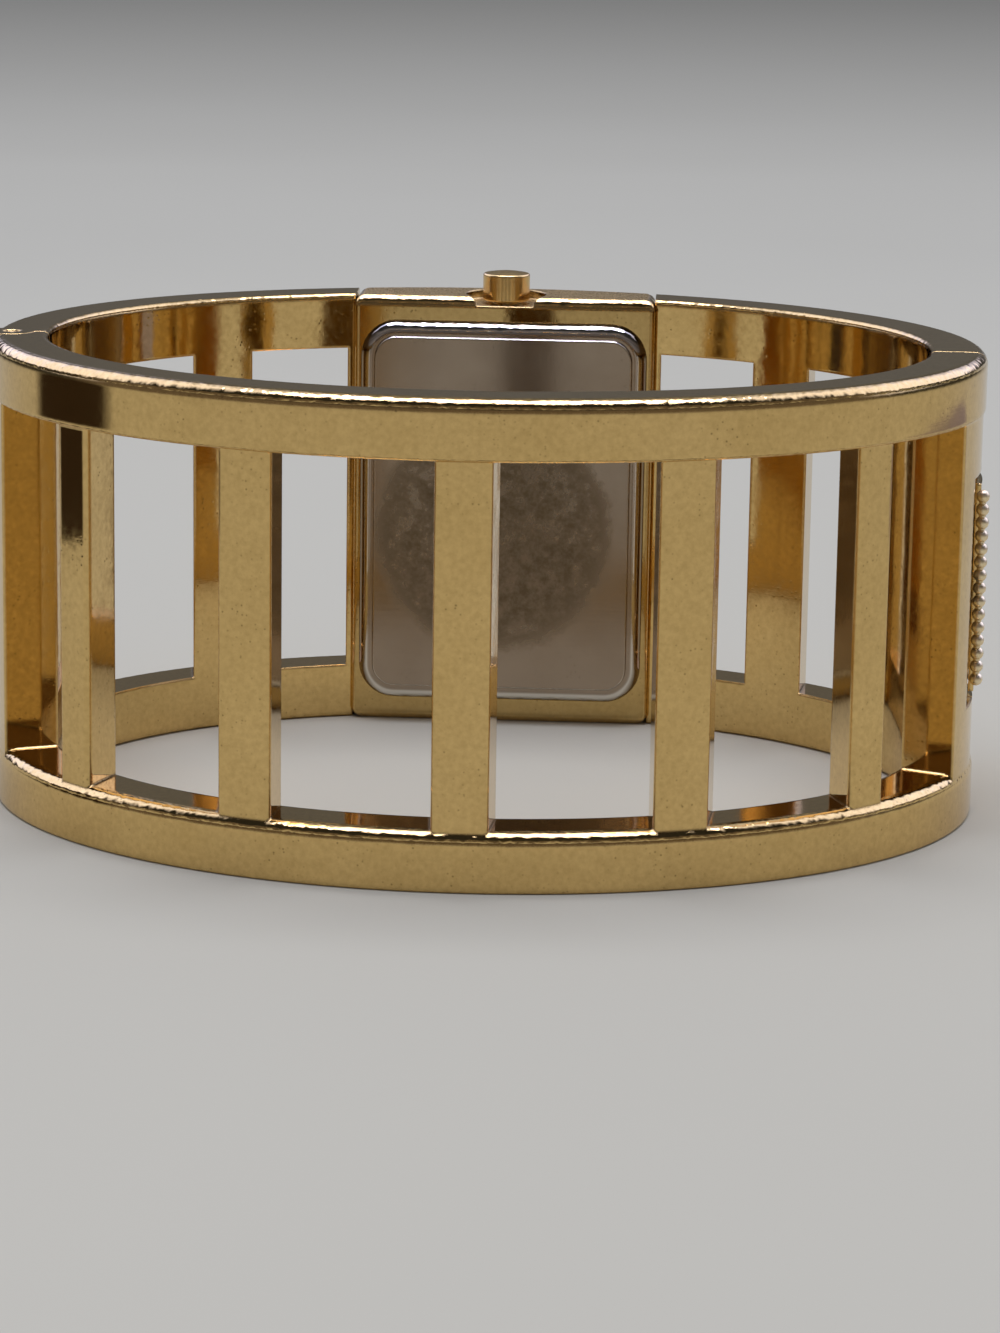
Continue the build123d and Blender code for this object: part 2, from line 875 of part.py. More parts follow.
def stem_lever(side, pivot_run, pivot_height, peg_run, peg_height, peg_radius, peg_low):
    """Flat lever on a post, with a peg that hangs into a groove beside the stem."""
    pivot, peg = (side * pivot_run, pivot_height), (side * peg_run, peg_height)
    face = make_hull_face(((pivot, lever_boss_radius), (peg, lever_arm_width / 2)))
    face -= disc(lever_pin_radius + pivot_clearance, pivot)
    arm = in_movement(face, lever_level, lever_level + lever_thickness)
    return arm + in_movement(disc(peg_radius, peg), peg_low, lever_level + lever_thickness / 2)


def make_hull_face(circles):
    """Outline drawn tight round some circles, each a place and a radius."""
    edges = [disc(radius, place).edges()[0] for place, radius in circles]
    return make_hull(edges)


def setting_lever_middle():
    """Height of the setting lever's pivot, halfway along its peg's travel."""
    return stem_groove_start + stem_groove_width / 2 + crown_travel / 2


def setting_lever():
    """Lever moved by the stem's groove as the crown is pulled."""
    return stem_lever(
        1,
        setting_pivot_run,
        setting_lever_middle(),
        stem_groove_radius + stem_peg_gap + stem_peg_radius,
        stem_groove_start + stem_groove_width / 2,
        stem_peg_radius,
        stem_level - stem_radius / 2,
    )


def yoke_middle():
    """Height of the yoke's pivot, halfway along the clutch's travel."""
    return clutch_start + clutch_groove_start + clutch_groove_width / 2 - clutch_travel / 2


def yoke():
    """Lever that slides the clutch the other way."""
    return stem_lever(
        -1,
        yoke_pivot_run,
        yoke_middle(),
        clutch_groove_radius + clutch_peg_gap + clutch_peg_radius,
        clutch_start + clutch_groove_start + clutch_groove_width / 2,
        clutch_peg_radius,
        stem_level - stem_radius / 2,
    )


def dial():
    """Rectangular dial with two feet that locate it on the movement."""
    face = RectangleRounded(
        cavity_width - 2 * dial_margin, cavity_height - 2 * dial_margin, cavity_round - dial_margin
    )
    plate = across_head(face - Circle(dial_hole_radius), dial_depth, dial_back)
    for foot in dial_feet():
        plate += in_movement(disc(dial_foot_radius, foot), -dial_thickness / 2, dial_foot_length)
    return plate


def dial_feet():
    """Places of the dial's feet, in opposite corners of the movement."""
    x = plate_width / 2 - plate_round / 2 - dial_foot_radius
    y = plate_height / 2 - plate_round / 2 - dial_foot_radius
    return ((x, y), (-x, -y))


def marker_ring():
    """Each hour marker's direction, with the distance of its outer end."""
    half_x = bezel_opening_width / 2 - marker_margin
    half_y = bezel_opening_height / 2 - marker_margin
    for hour in range(12):
        angle = radians(hour * 30)
        reach = min(
            half_x / abs(cos(angle)) if abs(cos(angle)) > sin(radians(1)) else half_y,
            half_y / abs(sin(angle)) if abs(sin(angle)) > sin(radians(1)) else half_x,
        )
        yield hour * 30, reach


def hour_markers():
    """Twelve plain applied bars round the dial."""
    bars = []
    for angle, reach in marker_ring():
        face = Rot(0, 0, angle) * Pos(reach - marker_length / 2, 0) * Rectangle(
            marker_length, marker_width
        )
        bars.append(across_head(face, dial_depth - marker_height, dial_depth))
    return Part() + bars


def hand(length, hub_radius, bore_radius, angle, lift):
    """Tapered baton hand with a short tail, lying at a lift above the dial."""
    half = hand_width / 2
    outline = Polyline(
        (-hand_tail, half / 2), (0, half), (length, half / 3), (length, -half / 3),
        (0, -half), (-hand_tail, -half / 2), close=True,
    )
    face = make_face(outline) + Circle(hub_radius) - Circle(bore_radius)
    top = dial_depth - lift - hand_thickness
    return across_head(Rot(0, 0, angle) * face, top, top + hand_thickness)


def hour_pipe_radius():
    """Outer radius of the hour wheel's pipe."""
    return cannon_radius + cannon_wall_gap + hour_pipe_wall


def minute_angle():
    """Turn of the minute hand from twelve at the time shown."""
    return minutes_shown * 6


def hour_angle():
    """Turn of the hour hand from twelve at the time shown."""
    return (hours_shown + minutes_shown / 60) * 30


def hour_hand():
    """Hour hand, pressed on the hour wheel's pipe."""
    bore = hour_pipe_radius() + fit_gap
    return hand(hour_hand_length, bore + hand_hub_wall, bore, hour_angle(), hour_hand_lift)


def minute_hand():
    """Minute hand, pressed on the cannon pinion."""
    bore = cannon_radius + fit_gap
    return hand(minute_hand_length, bore + hand_hub_wall, bore, minute_angle(), minute_hand_lift)


def gear_face(teeth, module, phase):
    """Toothed outline: straight-sided teeth with room for running."""
    pitch = teeth * module / 2
    tip, root = pitch + module * tooth_reach_share, pitch - module * tooth_depth_share
    step = 2 * pi / teeth
    points = []
    for index in range(teeth):
        centre = radians(phase) + index * step
        for radius, share in (
            (root, -tooth_root_share), (tip, -tooth_top_share),
            (tip, tooth_top_share), (root, tooth_root_share),
        ):
            angle = centre + share * step / 2
            points.append((radius * cos(angle), radius * sin(angle)))
    return make_face(Polyline(*points, close=True))


def meshed_phase(bearing, driver_teeth, driver_phase, teeth):
    """Turn of a wheel whose gap faces the driver's tooth along a bearing."""
    driver_step, step = 360 / driver_teeth, 360 / teeth
    offset = (bearing - driver_phase) / driver_step
    return bearing + 180 - (0.5 - offset) * step


def polar(distance, bearing, origin=(0, 0)):
    """Place at a distance and bearing from an origin."""
    return (
        origin[0] + distance * cos(radians(bearing)),
        origin[1] + distance * sin(radians(bearing)),
    )


def intermediate_place():
    """Place of the intermediate wheel."""
    distance = gear_module * (centre_teeth + intermediate_pinion_teeth) / 2
    return polar(distance, intermediate_bearing)


def rotor_place():
    """Place of the rotor."""
    distance = gear_module * (intermediate_teeth + rotor_teeth) / 2
    return polar(distance, rotor_bearing, intermediate_place())


def minute_wheel_place():
    """Place of the minute wheel."""
    distance = motion_module * (cannon_teeth + minute_wheel_teeth) / 2
    return polar(distance, minute_wheel_bearing)


def placed(face, place):
    """Face moved to a place."""
    return Pos(place[0], place[1]) * face


def intermediate_phase():
    """Turn of the intermediate pinion in mesh with the centre wheel."""
    return meshed_phase(intermediate_bearing, centre_teeth, 0, intermediate_pinion_teeth)


def centre_wheel():
    """Centre wheel on its arbor, which carries the cannon pinion."""
    wheel_end = centre_wheel_level + wheel_thickness
    wheel = in_movement(gear_face(centre_teeth, gear_module, 0), centre_wheel_level, wheel_end)
    front_end = -(dial_thickness + minute_hand_lift)
    wheel += in_movement(Circle(arbor_radius), front_end, train_level - arbor_play)
    wheel += in_movement(Circle(2 * arbor_radius), plate_thickness + arbor_play, centre_wheel_level)
    return wheel + in_movement(
        Circle(pivot_radius), train_level - arbor_play, train_level + pivot_length
    )


def cannon_pinion():
    """Cannon pinion, a friction fit on the centre arbor, which carries the minute hand."""
    front_end = -(dial_thickness + minute_hand_lift + hand_thickness + slip_gap)
    face = gear_face(cannon_teeth, motion_module, 0)
    pinion = in_movement(face, cannon_level, cannon_level + pinion_thickness)
    pinion += in_movement(Circle(cannon_radius), front_end, cannon_level)
    return pinion - in_movement(Circle(arbor_radius + fit_gap), front_end - overrun, overrun)


def minute_wheel():
    """Minute wheel with its pinion, between cannon pinion and hour wheel."""
    phase = meshed_phase(minute_wheel_bearing, cannon_teeth, 0, minute_wheel_teeth)
    place = minute_wheel_place()
    end = cannon_level + wheel_thickness
    wheel = in_movement(
        placed(gear_face(minute_wheel_teeth, motion_module, phase), place), cannon_level, end
    )
    pinion = placed(gear_face(minute_pinion_teeth, motion_module, 0), place)
    wheel += in_movement(pinion, hour_wheel_level, cannon_level)
    return wheel - in_movement(
        disc(arbor_radius + pivot_clearance, place), -overrun, end + overrun
    )


def hour_wheel():
    """Hour wheel with the pipe that carries the hour hand."""
    phase = meshed_phase(minute_wheel_bearing + 180, minute_pinion_teeth, 0, hour_teeth)
    end = hour_wheel_level + wheel_thickness
    wheel = in_movement(gear_face(hour_teeth, motion_module, phase), hour_wheel_level, end)
    front_end = -(dial_thickness + hour_hand_lift + hand_thickness + slip_gap)
    wheel += in_movement(Circle(hour_pipe_radius()), front_end, hour_wheel_level)
    bore = cannon_radius + cannon_wall_gap
    return wheel - in_movement(Circle(bore), front_end - overrun, end + overrun)


def intermediate_wheel():
    """Intermediate wheel and pinion, between rotor and centre wheel."""
    place = intermediate_place()
    phase = intermediate_phase()
    end = intermediate_wheel_level + wheel_thickness
    low = plate_thickness + arbor_play
    wheel = in_movement(
        placed(gear_face(intermediate_teeth, gear_module, phase), place),
        intermediate_wheel_level, end,
    )
    pinion = placed(gear_face(intermediate_pinion_teeth, gear_module, phase), place)
    wheel += in_movement(pinion, centre_wheel_level - slip_gap, intermediate_wheel_level)
    wheel += in_movement(disc(arbor_radius, place), low, train_level - arbor_play)
    return wheel + in_movement(disc(pivot_radius, place), low - pivot_length, train_level + pivot_length)


def rotor():
    """Rotor: magnet and pinion on one arbor."""
    place = rotor_place()
    phase = meshed_phase(rotor_bearing, intermediate_teeth, intermediate_phase(), rotor_teeth)
    low = plate_thickness + arbor_play
    magnet_end = magnet_level + magnet_thickness
    body = in_movement(disc(magnet_radius, place), magnet_level, magnet_end)
    pinion = placed(gear_face(rotor_teeth, gear_module, phase), place)
    body += in_movement(pinion, magnet_end, train_level - arbor_play)
    body += in_movement(disc(arbor_radius, place), low, magnet_level)
    return body + in_movement(disc(pivot_radius, place), low - pivot_length, train_level + pivot_length)


def movement_outline(inset):
    """Outline of the movement, drawn in by the inset."""
    return RectangleRounded(plate_width - 2 * inset, plate_height - 2 * inset, plate_round - inset)


def pillars():
    """Places of the pillars that carry the bridge."""
    return (pillar_left, pillar_right, pillar_foot)


def lever_posts():
    """Places of the setting lever's and the yoke's posts."""
    return (
        (setting_pivot_run, setting_lever_middle()),
        (-yoke_pivot_run, yoke_middle()),
    )


def main_plate():
    """Main plate with pillars, lever posts, stem block and the motion work's recess."""
    plate = in_movement(movement_outline(0), 0, plate_thickness)
    for place in pillars():
        plate += in_movement(disc(pillar_radius, place), plate_thickness / 2, train_level)
    post_shoulder = lever_level - fit_gap
    post_top = lever_level + lever_thickness + pivot_clearance
    for place in stator_screws():
        plate += in_movement(disc(stator_boss_radius, place), plate_thickness / 2, stator_level)
    for place in lever_posts():
        plate += in_movement(disc(lever_boss_radius, place), plate_thickness / 2, post_shoulder)
        plate += in_movement(disc(lever_pin_radius, place), post_shoulder, post_top)
    block_middle = stem_block_start + stem_block_length / 2
    stem_block = Pos(0, block_middle) * Rectangle(stem_block_width, stem_block_length)
    plate += in_movement(stem_block, plate_thickness / 2, stem_block_top)
    return cut_plate(plate)


def cut_plate(plate):
    """Recess, bores, clutch pocket and screw holes of the main plate."""
    wheel_room = motion_module * (hour_teeth + 2) / 2 + slip_gap
    minute_room = motion_module * (minute_wheel_teeth + 2) / 2 + slip_gap
    plate -= in_movement(Circle(wheel_room), -overrun, motion_recess)
    plate -= in_movement(disc(minute_room, minute_wheel_place()), -overrun, motion_recess)
    post = in_movement(disc(arbor_radius, minute_wheel_place()), hour_wheel_level, plate_thickness)
    plate += post
    plate -= in_movement(Circle(arbor_radius + pivot_clearance), -overrun, train_level)
    for place in (intermediate_place(), rotor_place()):
        hole = disc(pivot_radius + pivot_clearance, place)
        plate -= in_movement(hole, plate_thickness - 2 * pivot_length, train_level)
    for foot in dial_feet():
        hole = disc(dial_foot_radius + pivot_clearance, foot)
        plate -= in_movement(hole, -overrun, dial_foot_length + slip_gap)
    for place in pillars():
        plate -= in_movement(disc(screw_radius + fit_gap, place), plate_thickness, train_level)
    for place in stator_screws():
        plate -= in_movement(disc(screw_radius + fit_gap, place), plate_thickness / 3, stator_level)
    pocket_low = stem_level - clutch_tooth_radius - clutch_pocket_gap
    start = clutch_start - clutch_travel - clutch_pocket_gap
    end = clutch_start + clutch_length + clutch_pocket_gap
    pocket_width = 2 * (clutch_tooth_radius + clutch_pocket_gap)
    pocket = Pos(0, (start + end) / 2) * Rectangle(pocket_width, end - start)
    plate -= in_movement(pocket, pocket_low, plate_thickness)
    return plate - crown_line(stem_radius + stem_clearance, stem_inner_end - overrun / 2, middle)


def train_bridge():
    """Bridge over the going train, screwed to the plate's pillars."""
    circles = [(place, bridge_rim) for place in pillars()]
    circles.append((rotor_place(), bridge_rim))
    face = make_hull_face(circles)
    face -= disc(battery_radius + battery_clearance, battery_place)
    for place in pillars():
        face -= disc(screw_radius + fit_gap, place)
    for place in ((0, 0), intermediate_place(), rotor_place()):
        face -= disc(pivot_radius + pivot_clearance, place)
    return in_movement(face, train_level, train_level + bridge_thickness)


def screw(place, head_radius, seat, low):
    """Slotted screw with its head on a seat and its tip at a depth."""
    top = seat + screw_head_height
    head_solid = in_movement(disc(head_radius, place), seat, top)
    slot = placed(Rectangle(2 * head_radius, screw_radius / 2), place)
    head_solid -= in_movement(slot, seat + screw_head_height / 2, top)
    return head_solid + in_movement(disc(screw_radius, place), low, seat)


def movement_screws():
    """Screws that hold the bridge and the stator down."""
    bridge_top = train_level + bridge_thickness
    low = plate_thickness + slip_gap
    screws = [screw(place, screw_head_radius, bridge_top, low) for place in pillars()]
    stator_top = stator_level + stator_thickness
    low = plate_thickness / 2
    screws += [screw(place, stator_screw_head, stator_top, low) for place in stator_screws()]
    return Part() + screws


def battery():
    """Button cell: a can with the smaller cap towards the plate."""
    cap_radius = battery_radius - battery_step
    low, high = plate_thickness, plate_thickness + battery_thickness
    can = in_movement(disc(battery_radius, battery_place), low + battery_step, high)
    return can + in_movement(disc(cap_radius, battery_place), low, low + battery_step)


def battery_strap():
    """Sprung strap across the cell, bent down to the plate."""
    top = plate_thickness + battery_thickness
    x, y = battery_place
    far = x + battery_radius + strap_overhang
    face = Pos((x + far) / 2, y) * Rectangle(far - x, strap_width)
    strap = in_movement(face, top, top + strap_thickness)
    tab = Pos(far - strap_thickness / 2, y) * Rectangle(strap_thickness, strap_width)
    return strap + in_movement(tab, plate_thickness, top + strap_thickness)


def stator_feet():
    """Middles of the stator's two feet, along the coil."""
    return (coil_low - stator_foot / 2, coil_high + stator_foot / 2)


def stator_screws():
    """Places of the screws that hold the stator's feet."""
    return [(stator_screw_run, foot) for foot in stator_feet()]


def stator():
    """Flat stator round the rotor, its two feet under the coil's core."""
    low, high = stator_feet()
    strip = Pos((stator_left + stator_right) / 2, (low + high) / 2)
    face = strip * Rectangle(stator_right - stator_left, high - low + stator_foot)
    far = coil_place + core_width / 2
    for foot in (low, high):
        centre = Pos((stator_left + far) / 2, foot)
        face += centre * Rectangle(far - stator_left, stator_foot)
    face -= disc(magnet_radius + stator_gap, rotor_place())
    for place in stator_screws():
        face -= disc(screw_radius + fit_gap, place)
    face &= movement_outline(slip_gap)
    return in_movement(face, stator_level, stator_level + stator_thickness)


def coil_core():
    """Core strip through the coil, lying on the stator's feet."""
    low, high = stator_feet()
    start = stator_level + stator_thickness
    face = Pos(coil_place, (low + high) / 2) * Rectangle(core_width, high - low + stator_foot)
    face &= movement_outline(slip_gap)
    return in_movement(face, start, start + core_thickness)


def coil():
    """Coil wound on the core, with a flange at each end."""
    length = coil_high - coil_low
    flange = length / 20
    core_low = stator_level + stator_thickness
    centre = core_low + core_thickness / 2
    half_depth = centre - plate_thickness - arbor_play
    inner_depth = half_depth - arbor_play
    middle_run = (coil_low + coil_high) / 2
    winding = Pos(coil_place, middle_run) * Rectangle(2 * coil_radius - flange, length - 2 * slip_gap)
    body = in_movement(winding, centre - inner_depth, centre + inner_depth)
    for end in (coil_low + slip_gap + flange / 2, coil_high - slip_gap - flange / 2):
        face = Pos(coil_place, end) * Rectangle(2 * coil_radius, flange)
        body += in_movement(face, centre - half_depth, centre + half_depth)
    slot = Pos(coil_place, middle_run) * Rectangle(core_width + 2 * fit_gap, length + overrun)
    return body - in_movement(slot, core_low, core_low + core_thickness + fit_gap)


def quartz_can():
    """Quartz resonator in its can, lying on the plate under the circuit board."""
    x, y = quartz_place
    depth = plate_thickness + quartz_radius + slip_gap
    axis = head_plane(dial_back + depth) * Pos(x, y, 0) * Rot(-90, 0, 0)
    can = axis * Cylinder(quartz_radius, quartz_length, align=(Align.CENTER, Align.CENTER, Align.MIN))
    can = fillet(can.edges().group_by(Axis.Z)[-1], quartz_radius / 3)
    board = train_level + bridge_thickness
    for side in (-1, 1):
        lead_x = x + side * quartz_radius / 3
        lead = head_plane(dial_back + depth) * Pos(lead_x, y, 0) * Rot(90, 0, 0)
        can += lead * Cylinder(
            quartz_radius / 6, quartz_lead, align=(Align.CENTER, Align.CENTER, Align.MIN)
        )
        riser = disc(quartz_radius / 6, (lead_x, y - quartz_lead))
        can += in_movement(riser, depth, board)
    return can


def circuit_board():
    """Circuit board on the bridge's back, with room for the screw heads."""
    start = train_level + bridge_thickness
    face = Pos((board_left + board_right) / 2, (board_low + board_high) / 2) * RectangleRounded(
        board_right - board_left, board_high - board_low, plate_round / 3
    )
    face &= movement_outline(slip_gap)
    for place in pillars():
        face -= disc(screw_head_radius + slip_gap, place)
    return in_movement(face, start, start + board_thickness)


def control_chip():
    """Chip under its drop of resin, on the board's inner side."""
    end = train_level + bridge_thickness
    face = Pos(chip_place[0], chip_place[1]) * RectangleRounded(chip_size, chip_size, chip_size / 5)
    chip = in_movement(face, end - chip_thickness, end)
    return fillet(chip.faces().sort_by(Axis.Y)[-1].edges(), chip_size / 10)


def movement_holder():
    """Plastic frame that centres the movement in the case."""
    outer = RectangleRounded(
        cavity_width - 2 * slip_gap, cavity_height - 2 * slip_gap, cavity_round - slip_gap
    )
    face = outer - movement_outline(-slip_gap)
    end = head_depth - skirt_reach - dial_back - slip_gap
    holder = in_movement(face, 0, end)
    slot = Pos(0, cavity_height / 2) * Rectangle(
        3 * stem_radius + 2 * stem_clearance, cavity_height - plate_height
    )
    return holder - in_movement(slot, stem_level - 2 * stem_radius, end + overrun)


makers = {
    "back_half": back_half,
    "left_arm": left_arm,
    "right_arm": right_arm,
    "hinge_pin": hinge_pin,
    "clasp_lever": clasp_lever,
    "clasp_beads": clasp_beads,
    "clasp_pin": lambda: clasp_pin_solid(clasp_pin_radius, pin_inset),
    "catch_spring": catch_spring,
    "case_body": case_body,
    "bezel": bezel,
    "crystal": crystal,
    "crystal_gasket": crystal_gasket,
    "case_back": case_back,
    "case_back_gasket": case_back_gasket,
    "crown": crown,
    "crown_stem": crown_stem,
    "crown_tube": crown_tube,
    "crown_gasket": crown_gasket,
    "clutch_wheel": clutch_wheel,
    "setting_lever": setting_lever,
    "yoke": yoke,
    "dial": dial,
    "hour_markers": hour_markers,
    "hour_hand": hour_hand,
    "minute_hand": minute_hand,
    "centre_wheel": centre_wheel,
    "cannon_pinion": cannon_pinion,
    "minute_wheel": minute_wheel,
    "hour_wheel": hour_wheel,
    "intermediate_wheel": intermediate_wheel,
    "rotor": rotor,
    "stator": stator,
    "coil_core": coil_core,
    "coil": coil,
    "main_plate": main_plate,
    "train_bridge": train_bridge,
    "movement_screws": movement_screws,
    "battery": battery,
    "battery_strap": battery_strap,
    "quartz_can": quartz_can,
    "circuit_board": circuit_board,
    "control_chip": control_chip,
    "movement_holder": movement_holder,
}

os.makedirs("parts", exist_ok=True)
for node, make in makers.items():
    export_step(make(), f"parts/{node}.step")
    print(node)
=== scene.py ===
"""Looks of an oval bangle watch with openwork bars, seen from behind on a pale table."""

import logging
import math
from dataclasses import dataclass, field
from enum import Enum

import bmesh
import bpy
from mathutils import Matrix, Vector


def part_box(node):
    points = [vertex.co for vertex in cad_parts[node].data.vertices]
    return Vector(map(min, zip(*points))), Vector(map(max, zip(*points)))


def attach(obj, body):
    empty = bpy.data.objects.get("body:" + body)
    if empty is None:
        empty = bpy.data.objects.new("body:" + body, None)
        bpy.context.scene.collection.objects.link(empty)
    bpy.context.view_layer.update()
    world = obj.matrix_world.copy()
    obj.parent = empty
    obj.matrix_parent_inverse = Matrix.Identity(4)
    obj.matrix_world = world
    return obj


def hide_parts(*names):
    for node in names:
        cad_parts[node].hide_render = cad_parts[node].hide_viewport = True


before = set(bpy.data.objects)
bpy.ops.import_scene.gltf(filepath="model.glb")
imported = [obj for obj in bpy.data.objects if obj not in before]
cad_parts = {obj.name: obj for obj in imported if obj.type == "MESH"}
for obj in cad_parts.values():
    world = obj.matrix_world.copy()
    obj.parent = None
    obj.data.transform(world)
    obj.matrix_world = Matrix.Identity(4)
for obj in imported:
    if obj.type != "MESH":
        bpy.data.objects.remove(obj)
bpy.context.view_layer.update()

logging.basicConfig(level=logging.INFO, format="%(message)s")
log = logging.getLogger("bangle_watch")

MM = 0.001
Colour = tuple[float, float, float]


class Flow(Enum):
    """Which way fine polishing lines run on a surface."""

    AROUND = (60.0, 60.0, 2600.0)
    UPRIGHT = (2600.0, 2600.0, 60.0)


class Sheet:
    """Short way to place and join shader nodes in one tree."""

    def __init__(self, tree: bpy.types.NodeTree) -> None:
        """Keeps the tree.

        Args:
            tree: The node tree that nodes are added to.
        """
        self.tree = tree
        self.column = 0

    def add(self, kind: str, **values: object) -> bpy.types.Node:
        """Adds one node.

        Args:
            kind: The node's type name, without the leading ShaderNode.
            values: Node properties, or input values given as in_Name.

        Returns:
            The new node.
        """
        node = self.tree.nodes.new(f"ShaderNode{kind}")
        node.location = (self.column * 40.0, 0.0)
        self.column += 1
        for key, value in values.items():
            if key.startswith("in_"):
                node.inputs[key[3:].replace("_", " ")].default_value = value
            else:
                setattr(node, key, value)
        return node

    def join(self, source: bpy.types.NodeSocket, target: bpy.types.NodeSocket) -> None:
        """Links an output to an input.

        Args:
            source: Output socket.
            target: Input socket.
        """
        self.tree.links.new(source, target)

    def maths(
        self, operation: str, first: bpy.types.NodeSocket | float, second: bpy.types.NodeSocket | float
    ) -> bpy.types.NodeSocket:
        """Adds a Math node.

        Args:
            operation: Name of the Math node's operation.
            first: First value or socket.
            second: Second value or socket.

        Returns:
            The node's output.
        """
        node = self.add("Math", operation=operation)
        for socket, value in zip(node.inputs, (first, second)):
            if isinstance(value, bpy.types.NodeSocket):
                self.join(value, socket)
            else:
                socket.default_value = value
        return node.outputs[0]

    def ramp(
        self, source: bpy.types.NodeSocket, low: float, high: float, start: float, end: float
    ) -> bpy.types.NodeSocket:
        """Maps a value from one range to another, clamped.

        Args:
            source: The value.
            low: Start of the range read.
            high: End of the range read.
            start: Value given at low.
            end: Value given at high.

        Returns:
            The mapped value.
        """
        node = self.add("MapRange")
        self.join(source, node.inputs["Value"])
        for name, value in (("From Min", low), ("From Max", high), ("To Min", start), ("To Max", end)):
            node.inputs[name].default_value = value
        return node.outputs["Result"]

    def blend(
        self,
        share: bpy.types.NodeSocket,
        first: bpy.types.NodeSocket | Colour,
        second: bpy.types.NodeSocket | Colour,
    ) -> bpy.types.NodeSocket:
        """Mixes two colours.

        Args:
            share: How much of the second colour shows.
            first: First colour or socket.
            second: Second colour or socket.

        Returns:
            The mixed colour.
        """
        node = self.add("Mix", data_type="RGBA")
        self.join(share, node.inputs["Factor"])
        colours = [s for s in node.inputs if s.type == "RGBA"]
        for socket, value in zip(colours, (first, second)):
            if isinstance(value, bpy.types.NodeSocket):
                self.join(value, socket)
            else:
                socket.default_value = (*value, 1.0)
        return next(s for s in node.outputs if s.type == "RGBA")


def new_group(name: str, inputs: dict[str, float], outputs: dict[str, str]) -> tuple[Sheet, dict, dict]:
    """Starts a shader node group with named sockets.

    Args:
        name: Name of the group.
        inputs: Each input's name and value.
        outputs: Each output's name and socket type.

    Returns:
        The group's sheet, its input sockets and its output sockets, by name.
    """
    tree = bpy.data.node_groups.new(name, "ShaderNodeTree")
    for label, value in inputs.items():
        socket = tree.interface.new_socket(label, in_out="INPUT", socket_type="NodeSocketFloat")
        socket.default_value = value
    for label, kind in outputs.items():
        tree.interface.new_socket(label, in_out="OUTPUT", socket_type=kind)
    entry, leave = tree.nodes.new("NodeGroupInput"), tree.nodes.new("NodeGroupOutput")
    return (
        Sheet(tree),
        {label: entry.outputs[label] for label in inputs},
        {label: leave.inputs[label] for label in outputs},
    )


